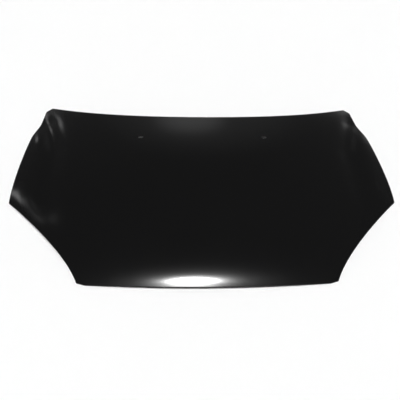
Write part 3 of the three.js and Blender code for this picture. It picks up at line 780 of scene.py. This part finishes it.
def setting_recipe():
    """Sets a template on every point, facing along the point's own direction."""
    sockets = {"Template": "Object", "Material": "Material", "Spread": "Float", "Unevenness": "Float"}
    recipe = Recipe("set_on_points", **sockets, Seed="Int")
    given = recipe.given
    shape = recipe.node("GeometryNodeObjectInfo", {"Object": given["Template"]}, output="Geometry")
    facing = recipe.node("GeometryNodeInputNamedAttribute", {"Name": "facing"}, data_type="FLOAT_VECTOR")
    turn = recipe.node("FunctionNodeAlignRotationToVector", {"Vector": facing}, axis="Z")
    limits = {2: 1.0 - given["Spread"], 3: 1.0 + given["Spread"], "Seed": given["Seed"]}
    size = recipe.node("FunctionNodeRandomValue", limits, output=1, data_type="FLOAT")
    inputs = {"Points": given["Geometry"], "Instance": shape, "Rotation": turn, "Scale": size}
    placed = recipe.node("GeometryNodeInstanceOnPoints", inputs)
    real = recipe.node("GeometryNodeRealizeInstances", {"Geometry": placed})
    ripple = recipe.node("ShaderNodeTexNoise", {"Scale": 260.0}, output="Color")
    centred = recipe.node("ShaderNodeVectorMath", {0: ripple, 1: (0.5, 0.5, 0.5)}, operation="SUBTRACT")
    inputs = {0: centred, "Scale": given["Unevenness"]}
    shift = recipe.node("ShaderNodeVectorMath", inputs, operation="SCALE")
    moved = recipe.node("GeometryNodeSetPosition", {"Geometry": real, "Offset": shift})
    recipe.end(moved, given["Material"])
    return recipe


def wire_recipe():
    """Bends a round wire along a path of straight edges."""
    recipe = Recipe("bent_wire", Material="Material", Radius="Float", Bend="Float")
    given = recipe.given
    path = recipe.node("GeometryNodeMeshToCurve", {"Mesh": given["Geometry"]})
    inputs = {"Curve": path, "Radius": given["Bend"], "Limit Radius": True, "Count": 14}
    bent = recipe.node("GeometryNodeFilletCurve", inputs, mode="POLY")
    ring = recipe.node("GeometryNodeCurvePrimitiveCircle", {"Resolution": 32, "Radius": given["Radius"]})
    inputs = {"Curve": bent, "Profile Curve": ring, "Fill Caps": True}
    recipe.end(recipe.node("GeometryNodeCurveToMesh", inputs), given["Material"])
    return recipe


def points_object(name, places, directions):
    """Loose points that each keep a direction to face along."""
    piece = new_object(name, places, [])
    facing = piece.data.attributes.new("facing", "FLOAT_VECTOR", "POINT")
    facing.data.foreach_set("vector", np.asarray(directions, np.float32).ravel())
    return piece


FINISHES = {}


def finish(make, settings):
    """A material, made when it is first asked for and shared after that."""
    if make not in FINISHES:
        FINISHES[make] = make(settings)
    return FINISHES[make]


def scaled(tone, by):
    return tuple(min(1.0, c * by) for c in tone)


def outer_coat(settings):
    """Black electrocoat over the outer skin: a fine orange peel, faint polishing drift and dust."""
    paint = Paint("skin_electrocoat")
    drift = paint.noise(3.0, detail=2.0)
    dust = paint.noise(420.0, detail=2.0).above(0.68, 0.78) * paint.noise(9.0).above(0.5, 0.75)
    tone = settings.coat_colour
    paint.colour(drift * 0.35 + dust * 0.5, tone, scaled(tone, 1.9))
    smear = paint.noise(14.0, detail=4.0, roughness=0.6, stretch=(1.0, 0.45, 1.0))
    rough = settings.coat_roughness
    paint.roughness(smear * 0.7 + dust * 0.3, rough - 0.015, rough + 0.025)
    peel = paint.noise(330.0, detail=2.0, roughness=0.4)
    waves = paint.noise(26.0, detail=1.0)
    paint.bump((waves, settings.wave_height), (peel, settings.peel_height))
    return paint.material


def inner_coat(settings):
    """The same coat on the inner frame, thinner and duller, with run marks and settled dust."""
    paint = Paint("frame_electrocoat")
    runs = paint.noise(22.0, detail=5.0, roughness=0.65, stretch=(1.0, 0.25, 1.0))
    dust = paint.noise(240.0, detail=3.0).above(0.55, 0.75)
    tone = settings.coat_colour
    paint.colour(runs * 0.7 + dust * 0.3, scaled(tone, 1.2), scaled(tone, 3.2))
    rough = settings.inner_roughness
    paint.roughness(runs * 0.6 + dust * 0.4, rough - 0.06, rough + 0.12)
    peel = paint.noise(260.0, detail=3.0)
    draw_marks = paint.noise(60.0, detail=2.0, stretch=(1.0, 0.08, 1.0))
    paint.bump((draw_marks, 0.00005), (peel, 0.00004))
    return paint.material


def plate_coat(settings):
    """Coated plate with rolled edges, a little satin, with clamp rubs."""
    paint = Paint("plate_electrocoat")
    rub = paint.noise(90.0, detail=4.0, roughness=0.7)
    tone = settings.coat_colour
    paint.colour(rub, scaled(tone, 1.6), scaled(tone, 4.5))
    paint.roughness(rub, 0.3, 0.5)
    paint.bump((paint.noise(500.0, detail=2.0), 0.00003))
    return paint.material


def zinc_plate(settings):
    """Dull zinc: spangled grey metal with a milky passivation bloom."""
    paint = Paint("dull_zinc", metallic=1.0)
    spangle = paint.cells(320.0)
    bloom = paint.noise(70.0, detail=4.0)
    tone = settings.zinc_colour
    paint.colour(spangle * 0.5 + bloom * 0.5, scaled(tone, 0.72), tone)
    paint.roughness(bloom, 0.28, 0.52)
    paint.bump((spangle, 0.00004), (paint.noise(900.0), 0.00002))
    return paint.material


def mastic(settings):
    """Anti-flutter mastic: matt, dark, with a stippled skin."""
    paint = Paint("stippled_mastic", ior=1.45)
    stipple = paint.noise(600.0, detail=4.0)
    paint.colour(stipple, (0.018, 0.018, 0.020), (0.045, 0.045, 0.048))
    paint.roughness(stipple, 0.78, 0.95)
    paint.bump((stipple, 0.00025))
    return paint.material


class BonnetLooks(bpy.types.PropertyGroup):
    """Sizes and finishes that a user would change."""

    lattice: FloatProperty(
        name="Skin lattice", description="Spacing of the points on the skin", default=0.011, unit="LENGTH"
    )
    edge_step: FloatProperty(
        name="Edge step",
        description="Spacing of the points round the outline",
        default=0.003,
        unit="LENGTH",
    )
    corner_radius: FloatProperty(
        name="Corner radius",
        description="Ease of the outline's corners in plan",
        default=0.007,
        unit="LENGTH",
    )
    coat_colour: FloatVectorProperty(
        name="Coat colour",
        description="Colour of the black coat",
        default=(0.0036, 0.0036, 0.0037),
        size=3,
        subtype="COLOR",
    )
    coat_roughness: FloatProperty(
        name="Skin roughness",
        description="Roughness of the coat on the skin",
        default=0.14,
        subtype="FACTOR",
    )
    inner_roughness: FloatProperty(
        name="Frame roughness",
        description="Roughness of the coat on the frame",
        default=0.4,
        subtype="FACTOR",
    )
    peel_height: FloatProperty(
        name="Orange peel",
        description="Height of the coat's orange peel",
        default=0.000012,
        unit="LENGTH",
    )
    wave_height: FloatProperty(
        name="Panel waves", description="Height of the sheet's long waves", default=0.00001, unit="LENGTH"
    )
    zinc_colour: FloatVectorProperty(
        name="Zinc colour",
        description="Colour of the zinc plate",
        default=(0.56, 0.57, 0.59),
        size=3,
        subtype="COLOR",
    )
    plate_edge: FloatProperty(
        name="Plate edge", description="Round on the edges of the plates", default=0.0004, unit="LENGTH"
    )
    seed: IntProperty(name="Seed", description="Seed of what differs from pad to pad", default=7)


class BonnetStage(bpy.types.PropertyGroup):
    """Camera, floor and light."""

    lens: FloatProperty(name="Lens", description="Focal length", default=53.68, unit="CAMERA")
    azimuth: FloatProperty(
        name="Azimuth",
        description="Camera's turn from straight ahead",
        default=math.radians(-3.89),
        subtype="ANGLE",
    )
    elevation: FloatProperty(
        name="Elevation", description="Camera's height angle", default=math.radians(46.5), subtype="ANGLE"
    )
    roll: FloatProperty(
        name="Roll", description="Camera's roll", default=math.radians(2.727), subtype="ANGLE"
    )
    distance: FloatProperty(
        name="Distance", description="From the aim point", default=2.1, unit="LENGTH"
    )
    aim: FloatVectorProperty(
        name="Aim",
        description="Point at the picture's middle",
        default=(-0.0193, -0.1175, 0.0574),
        size=3,
        unit="LENGTH",
    )
    floor_colour: FloatVectorProperty(
        name="Floor colour",
        description="Colour of the floor",
        default=(0.965, 0.965, 0.965),
        size=3,
        subtype="COLOR",
    )
    key_strength: FloatProperty(
        name="Key strength", description="Strength of the overhead key", default=2.68
    )
    key_lean: FloatProperty(
        name="Key lean",
        description="Lean of the key towards the nose",
        default=math.radians(20.5),
        subtype="ANGLE",
    )
    key_drift: FloatProperty(
        name="Key drift", description="Drift of the key towards the car's left", default=0.008
    )
    key_angle: FloatProperty(
        name="Key angle",
        description="Size of the overhead key",
        default=math.radians(7.0),
        subtype="ANGLE",
    )


class BONNET_OT_skin(bpy.types.Operator):
    """Builds the smooth outer skin with its folded hem and washer jet slots"""

    bl_idname = "bonnet.skin"
    bl_label = "Outer skin"

    def execute(self, context):
        looks = context.scene.bonnet_looks
        step = looks.edge_step / MM
        true_edge = outline(step)
        edge = eased(true_edge, looks.corner_radius / MM, step)
        hem_end = inset(eased(true_edge, CORNER_RUN, step), HEM_WIDTH)
        fold = HEM_UNDER / 2.0

        def rail(distance):
            """The loop that lies a distance inside the edge, without folding over at the corners."""
            return edge + (hem_end - edge) * distance / HEM_WIDTH

        sections = [(HEM_WIDTH, SKIN), (SKIN, SKIN), (SKIN, HEM_TOP)]
        sections += [(HEM_WIDTH, HEM_TOP), (HEM_WIDTH, HEM_UNDER)]
        for angle in np.radians(np.linspace(180.0, 0.0, 11)):
            sections.append((fold - fold * math.sin(angle), fold - fold * math.cos(angle)))
        vertices = []
        for distance, depth in sections:
            line = rail(distance)
            vertices.extend(np.column_stack([line, height_below(line, depth)]))
        slots = [slot_loop(side * JET_X, JET_Y, JET_LENGTH, JET_WIDTH) for side in (-1, 1)]
        lip = 2.0 * LIP_WIDTH
        lips = [slot_loop(side * JET_X, JET_Y, JET_LENGTH + lip, JET_WIDTH + lip) for side in (-1, 1)]
        i = np.arange(len(edge))
        on = np.roll(i, -1)
        faces = []
        for lower in range(len(sections) - 1):
            a = lower * len(edge)
            b = a + len(edge)
            faces.extend(np.stack([a + i, a + on, b + on, b + i], 1))

        def cover(border, rings, heights, up):
            """Fills the border with triangles over a lattice, leaving the slots open."""
            spacing = looks.lattice / MM
            lattice = lattice_points(spacing, spacing * ROW_SHARE)
            keep = inside(lattice, inset(rings[-1] if rings else border, spacing * 0.6))
            for slot in slots:
                away, _ = from_slot(lattice, slot)
                keep &= away > JET_WIDTH / 2.0 + SLOT_CLEAR + spacing * 0.3
            spots, cells = fill(border, slots, [*rings, *lips], lattice[keep])
            first = len(vertices)
            vertices.extend(np.column_stack([spots, heights(spots)]))
            faces.extend(cells + first if up else cells[:, ::-1] + first)
            return [find(slot, spots) + first for slot in slots]

        def lipped(spots):
            """The skin's top, rolled down a little round the jet slots."""
            drop = np.zeros(len(spots))
            low, high = (JET_WIDTH / 2.0 + past for past in LIP_EDGES)
            for slot in slots:
                away, off = from_slot(spots, slot)
                deepest = LIP_ROLL * np.exp(-((off[:, 0] / LIP_RUN) ** 2))
                drop += deepest * (1.0 - smooth_step(low, high, away))
            return height_below(spots, 0.0) - drop

        top_border = rail(fold)
        tops = cover(top_border, [rail(distance) for distance in EDGE_RAILS], lipped, True)
        unders = cover(hem_end, [], lambda spots: height_below(spots, SKIN), False)
        for top, under in zip(tops, unders):
            faces.extend(np.stack([top, np.roll(top, -1), np.roll(under, -1), under], 1))
        skin = new_object("outer_skin", np.array(vertices) * MM, faces, finish(outer_coat, looks))
        join_doubles(skin.data, 2e-6)
        self.shade(skin.data, top_border)
        seat(skin, "outer_coat", "outer_panel")
        return {"FINISHED"}

    def shade(self, mesh, top_border):
        """Gives the top the true normals of the pressed surface, free of any facet."""
        mesh.set_sharp_from_angle(angle=SHARP_ON_CURVES)
        spots = np.zeros(len(mesh.vertices) * 3)
        mesh.vertices.foreach_get("co", spots)
        spots = spots.reshape(-1, 3) / MM
        wanted = skin_normals(spots)
        on_top = np.abs(spots[:, 2] - skin_height(spots[:, 0], spots[:, 1])) < ON_SKIN
        on_top &= inside(spots[:, :2], inset(top_border, -0.2))
        corners = np.zeros(len(mesh.loops), int)
        mesh.loops.foreach_get("vertex_index", corners)
        tilt = np.zeros(len(mesh.loops) * 3)
        mesh.corner_normals.foreach_get("vector", tilt)
        tilt = tilt.reshape(-1, 3)
        smooth = on_top[corners] & (tilt[:, 2] > 0.5)
        normals = np.where(smooth[:, None], wanted[corners], tilt)
        mesh.normals_split_custom_set([tuple(n) for n in normals])


class BONNET_OT_frame(bpy.types.Operator):
    """Presses the inner frame: a flange in the hem, a rim wall and a floor with pockets, beads and pads"""

    bl_idname = "bonnet.frame"
    bl_label = "Inner frame"

    def execute(self, context):
        looks = context.scene.bonnet_looks
        edge = eased(outline(FRAME_STEP), looks.corner_radius / MM, FRAME_STEP)
        along = np.roll(edge, -1, 0) - edge
        fine = np.concatenate([edge + along * share for share in np.arange(0, 1, 0.1)])
        tree = KDTree(len(fine))
        for i, (x, y) in enumerate(fine):
            tree.insert((x, y, 0.0), i)
        tree.balance()

        def from_edge(points):
            return np.array([tree.find((x, y, 0.0))[2] for x, y in points])

        def inner_line(distance):
            """The line a distance inside the edge, without what folds over at the corners."""
            line = inset(edge, distance)
            return line[from_edge(line) > distance - 0.05]

        rim = inset(edge, FLANGE_SETBACK)
        rim_rings = [MID_FLANGE, *(WALL_HEAD + RING_OFFSETS), MID_WALL, *(WALL_FOOT + RING_OFFSETS)]
        bends = [inner_line(distance) for distance in rim_rings]
        pressings = frame_pressings()
        pockets = [p for p in pressings if p.wall == POCKET_WALL]
        openings = [p.loop(POCKET_WALL + POCKET_FLANGE) for p in pockets]
        holes = frame_holes() + [hole for p in pressings for hole in p.holes]
        bends += [p.loop(ring) for p in pressings for ring in p.rings]
        loose = lattice_points(FRAME_LATTICE, FRAME_LATTICE * math.sqrt(0.75))
        loose = loose[inside(loose, edge)]
        loose = loose[from_edge(loose) > WALL_FOOT + CLEAR_OF_RIM]
        for p in pressings:
            inward = p.inward(loose)
            last = np.inf if p in pockets else p.rings[-1] + CLEAR_OF_RINGS
            loose = loose[(inward < -CLEAR_OF_FOOT) | (inward > last)]
        for hole in holes:
            middle = hole.mean(0)
            reach = np.linalg.norm(hole - middle, axis=1).max()
            loose = loose[np.linalg.norm(loose - middle, axis=1) > reach + CLEAR_OF_HOLE]
        gaps = [*openings, *holes]
        spots, cells = fill(rim, gaps, bends, loose)
        top, under = self.heights(spots, pressings, from_edge(spots))
        count = len(spots)
        vertices = np.concatenate([np.column_stack([spots, top]), np.column_stack([spots, under])]) * MM
        faces = [*cells, *(cells[:, ::-1] + count)]
        for line in [rim, *(gap[::-1] for gap in gaps)]:
            at = find(line, spots)
            on = np.roll(at, -1)
            faces.extend(np.stack([at + count, on + count, on, at], 1))
        piece = new_object("pressed_frame", vertices, faces, finish(inner_coat, looks))
        piece.data.set_sharp_from_angle(angle=SHARP)
        seat(piece, "inner_coat", "inner_frame")
        return {"FINISHED"}

    def heights(self, spots, pressings, away):
        """Heights of the sheet's top and underside: the floor, each pressing in it and the rim's wall."""
        floor = floor_under(spots)
        top, under = floor + FRAME_SHEET, floor.copy()
        for p in pressings:
            inward = p.inward(spots)
            top += (p.face_top(spots) - floor - FRAME_SHEET) * ramp(inward, 0.0, p.wall)
            under += (p.face_under(spots) - floor) * ramp(inward, p.lean * WALL_SHEET, p.wall)
        flange_top, flange_under = height_below(spots, FLANGE_TOP), height_below(spots, FLANGE_UNDER)
        run = WALL_FOOT - WALL_HEAD
        top = flange_top + (top - flange_top) * ramp(away, WALL_HEAD + WALL_SHEET, run)
        under = flange_under + (under - flange_under) * ramp(away, WALL_HEAD, run)
        return top, under


class BONNET_OT_plates(bpy.types.Operator):
    """Rounds the edges of the hinge and latch plates and spot welds them down"""

    bl_idname = "bonnet.plates"
    bl_label = "Reinforcement plates"

    def execute(self, context):
        looks = context.scene.bonnet_looks
        coat = finish(plate_coat, looks)
        welds = {
            "hinge_reinforcement_left": HINGE_WELDS,
            "hinge_reinforcement_right": HINGE_WELDS,
            "latch_reinforcement": LATCH_WELDS,
        }
        places = []
        for node, spots in welds.items():
            piece = merged_copy(node, node.replace("reinforcement", "plate"), coat)
            bevel = piece.modifiers.new("edge", "BEVEL")
            bevel.width = looks.plate_edge
            bevel.segments = 3
            bevel.limit_method = "ANGLE"
            bevel.angle_limit = math.radians(50)
            seat(finish_modifiers(piece, SHARP), "plate_coat", node)
            middle_x, middle_y, top = box_foot(node, share=1.0)
            places += [(middle_x + x * MM, middle_y + y * MM, top) for x, y in spots]
        rows = [
            (0.0, WELD_DISH),
            (WELD_RADIUS - 1.1, WELD_DISH),
            (WELD_RADIUS - 0.5, WELD_RIM),
            (WELD_RADIUS - 0.1, WELD_RIM),
            (WELD_RADIUS + 0.3, WELD_FOOT),
            (0.0, WELD_FOOT),
        ]
        mark = template("spot_weld", rows, 28, coat, closed_on_axis=True)
        marks = points_object("spot_weld_marks", places, [UP] * len(places))
        setting_recipe().make(marks, SHARP, Template=mark, Material=coat, Spread=0.06, Seed=looks.seed)
        seat(marks, "plate_coat")
        return {"FINISHED"}


class BONNET_OT_nuts(bpy.types.Operator):
    """Sets the flanged weld nuts with their threads on the hinge plates"""

    bl_idname = "bonnet.nuts"
    bl_label = "Weld nuts"

    def execute(self, context):
        looks = context.scene.bonnet_looks
        flat = NUT_ACROSS / 2.0

        def hexagon(angles, height):
            """The six flats, cut back at the top by a cone."""
            around = (angles + math.pi / 6) % (math.pi / 3) - math.pi / 6
            cone = 0.97 * flat + (NUT_HEIGHT - height) * math.sqrt(3.0)
            return np.minimum(flat / np.cos(around), cone)

        def thread(angles, height):
            groove = np.cos(2.0 * math.pi * height / THREAD_PITCH - angles)
            return NUT_BORE + THREAD_DEPTH * 0.5 * (1.0 + groove)

        rows = [(thread, height) for height in np.linspace(0.0, NUT_HEIGHT, 36)]
        rows += [(hexagon, height) for height in NUT_HEIGHT - np.linspace(0.0, 0.7, 5)]
        rows += [
            (hexagon, NUT_FLANGE_HEIGHT + 0.3),
            (NUT_FLANGE - 0.5, NUT_FLANGE_HEIGHT),
            (NUT_FLANGE - NUT_EASE, NUT_FLANGE_HEIGHT - NUT_EASE),
            (NUT_FLANGE, NUT_FLANGE_HEIGHT - 0.5),
            (NUT_FLANGE, NUT_EASE),
            (NUT_FLANGE - NUT_EASE, 0.0),
        ]
        nodes = [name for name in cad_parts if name.startswith("hinge_nut")]
        feet = [box_foot(node) for node in nodes]
        zinc = finish(zinc_plate, looks)
        nuts = points_object("hinge_weld_nuts", feet, [UP] * len(feet))
        nut = template("weld_nut", rows, 72, zinc)
        setting_recipe().make(nuts, SHARP, Template=nut, Material=zinc)
        seat(nuts, "zinc", *nodes)
        return {"FINISHED"}


class BONNET_OT_striker(bpy.types.Operator):
    """Bends the striker's wire and heads its two legs over the latch plate"""

    bl_idname = "bonnet.striker"
    bl_label = "Striker"

    def execute(self, context):
        looks = context.scene.bonnet_looks
        low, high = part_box("striker")
        y = (low.y + high.y) / 2.0
        half = STRIKER_PITCH / 2.0 * MM
        wire = STRIKER_WIRE * MM
        head_under = high.z - STRIKER_HEAD_HEIGHT * MM
        leg_top, loop_z = head_under + MM, low.z + wire
        corners = [(-half, y, leg_top), (-half, y, loop_z), (half, y, loop_z), (half, y, leg_top)]
        mesh = bpy.data.meshes.new("bent_striker")
        mesh.from_pydata(corners, [(0, 1), (1, 2), (2, 3)], [])
        piece = linked("bent_striker", mesh)
        zinc = finish(zinc_plate, looks)
        wire_recipe().make(piece, SHARP_ON_CURVES, Material=zinc, Radius=wire, Bend=STRIKER_BEND * MM)
        dome = [
            (STRIKER_HEAD * math.cos(angle), STRIKER_HEAD_HEIGHT * (0.55 + 0.45 * math.sin(angle)))
            for angle in np.radians(np.linspace(90.0, 0.0, 9))
        ]
        rows = [*dome, (STRIKER_HEAD, 0.3), (STRIKER_HEAD - 0.3, 0.0), (0.0, 0.0)]
        heads = points_object("striker_heads", [(x, y, head_under) for x in (-half, half)], [UP] * 2)
        head = template("striker_head", rows, 40, zinc, closed_on_axis=True)
        setting_recipe().make(heads, SHARP_ON_CURVES, Template=head, Material=zinc)
        seat(piece, "zinc", "striker")
        seat(heads, "zinc")
        return {"FINISHED"}


class BONNET_OT_mastic(bpy.types.Operator):
    """Lays the drops of mastic that bond the skin to the pocket flanges"""

    bl_idname = "bonnet.mastic"
    bl_label = "Mastic pads"

    def execute(self, context):
        looks = context.scene.bonnet_looks
        nodes = sorted(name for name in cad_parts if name.startswith("mastic"))
        middles = np.array([box_foot(node, share=0.5) for node in nodes])
        facing = skin_normals(middles[:, :2] / MM)
        half = MASTIC_HEIGHT / 2.0
        bulge = [
            (MASTIC_RADIUS * (0.86 + 0.14 * math.cos(angle)), half * 0.97 * math.sin(angle))
            for angle in np.radians(np.linspace(80.0, -80.0, 13))
        ]
        inner = MASTIC_RADIUS * 0.45
        rows = [(0.0, half), (inner, half), *bulge, (inner, -half), (0.0, -half)]
        pads = points_object("mastic_pads", middles, facing)
        skin = finish(mastic, looks)
        drop = template("mastic_drop", rows, 40, skin, closed_on_axis=True)
        values = {"Spread": 0.03, "Unevenness": 0.0004, "Seed": looks.seed}
        setting_recipe().make(pads, math.radians(60), Template=drop, Material=skin, **values)
        seat(pads, "mastic", *nodes)
        return {"FINISHED"}


class BONNET_OT_stage(bpy.types.Operator):
    """Lays the pale floor and sets the lamps, the world and the camera"""

    bl_idname = "bonnet.stage"
    bl_label = "Stage"

    def execute(self, context):
        stage = context.scene.bonnet_stage
        self.floor(stage)
        self.key(stage)
        self.world(context.scene)
        self.camera(context.scene, stage)
        context.scene.view_settings.view_transform = "Standard"
        return {"FINISHED"}

    def floor(self, stage):
        paint = Paint("studio_floor")
        grain = paint.noise(2.0, detail=2.0)
        paint.colour(grain, stage.floor_colour, scaled(stage.floor_colour, 1.01))
        paint.roughness(grain, 0.85, 0.95)
        corners = [(x * FLOOR_REACH, y * FLOOR_REACH, FLOOR_Z) for x, y in QUARTERS]
        new_object("studio_floor", corners, [(0, 1, 2, 3)], paint.material)

    def key(self, stage):
        lamp = bpy.data.lights.new("overhead_key", "SUN")
        lamp.energy = stage.key_strength
        lamp.angle = stage.key_angle
        towards = Vector((stage.key_drift, -math.sin(stage.key_lean), math.cos(stage.key_lean)))
        linked("overhead_key", lamp).rotation_euler = towards.to_track_quat("Z", "Y").to_euler()

    def world(self, scene):
        """A dark ceiling above a pale wall all round, with soft cards on it."""
        scene.world = bpy.data.worlds.new("studio_world")
        scene.world.use_nodes = True
        tree = Tree(scene.world.node_tree)
        way = tree.node("ShaderNodeTexCoord", output="Generated")
        height = tree.node("ShaderNodeSeparateXYZ", {0: way}, output="Z")
        wall = height.above(math.sin(WALL_FADE), math.sin(WALL_TOP))
        light = wall.spread(CEILING_LIGHT, WALL_LIGHT)
        for azimuth, elevation, radius, edge, strength in CARDS:
            a, e = math.radians(azimuth), math.radians(elevation)
            middle = (math.sin(a) * math.cos(e), math.cos(a) * math.cos(e), math.sin(e))
            inputs = {0: way, 1: middle}
            near = tree.node("ShaderNodeVectorMath", inputs, output="Value", operation="DOT_PRODUCT")
            card = near.above(math.cos(math.radians(radius + edge)), math.cos(math.radians(radius)))
            light = light + card * strength
        background = scene.world.node_tree.nodes["Background"]
        tree.feed(light, background.inputs["Strength"])
        tree.feed((1.0, 1.0, 1.0, 1.0), background.inputs["Color"])

    def camera(self, scene, stage):
        a, e, r = stage.azimuth, stage.elevation, stage.roll
        back = Vector((math.sin(a) * math.cos(e), -math.cos(a) * math.cos(e), math.sin(e)))
        across = Vector((math.cos(a), math.sin(a), 0.0))
        up = back.cross(across)
        right = across * math.cos(r) + up * math.sin(r)
        top = up * math.cos(r) - across * math.sin(r)
        camera = bpy.data.cameras.new("camera")
        camera.lens = stage.lens
        camera.sensor_width = 36.0
        camera.clip_end = 100.0
        turn = Matrix((right, top, back)).transposed().to_4x4()
        scene.camera = linked("camera", camera)
        scene.camera.matrix_world = Matrix.Translation(Vector(stage.aim) + back * stage.distance) @ turn


class BONNET_PT_panel(bpy.types.Panel):
    """Lists the pieces and their settings"""

    bl_label = "Bonnet"
    bl_idname = "BONNET_PT_panel"
    bl_space_type = "VIEW_3D"
    bl_region_type = "UI"
    bl_category = "Bonnet"

    def draw(self, context):
        for group in (context.scene.bonnet_looks, context.scene.bonnet_stage):
            for key in group.__annotations__:
                self.layout.prop(group, key)
        for operator in OPERATORS:
            self.layout.operator(operator.bl_idname)


OPERATORS = (
    BONNET_OT_skin,
    BONNET_OT_frame,
    BONNET_OT_plates,
    BONNET_OT_nuts,
    BONNET_OT_striker,
    BONNET_OT_mastic,
    BONNET_OT_stage,
)
GROUPS = (BonnetLooks, BonnetStage)


def register():
    for cls in (*GROUPS, *OPERATORS, BONNET_PT_panel):
        bpy.utils.register_class(cls)
    bpy.types.Scene.bonnet_looks = PointerProperty(type=BonnetLooks)
    bpy.types.Scene.bonnet_stage = PointerProperty(type=BonnetStage)


def unregister():
    del bpy.types.Scene.bonnet_looks
    del bpy.types.Scene.bonnet_stage
    for cls in (BONNET_PT_panel, *OPERATORS, *GROUPS):
        bpy.utils.unregister_class(cls)


def main():
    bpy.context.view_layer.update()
    register()
    bpy.ops.bonnet.skin()
    bpy.ops.bonnet.frame()
    bpy.ops.bonnet.plates()
    bpy.ops.bonnet.nuts()
    bpy.ops.bonnet.striker()
    bpy.ops.bonnet.mastic()
    bpy.ops.bonnet.stage()
    bpy.context.view_layer.update()


if __name__ == "__main__":
    main()
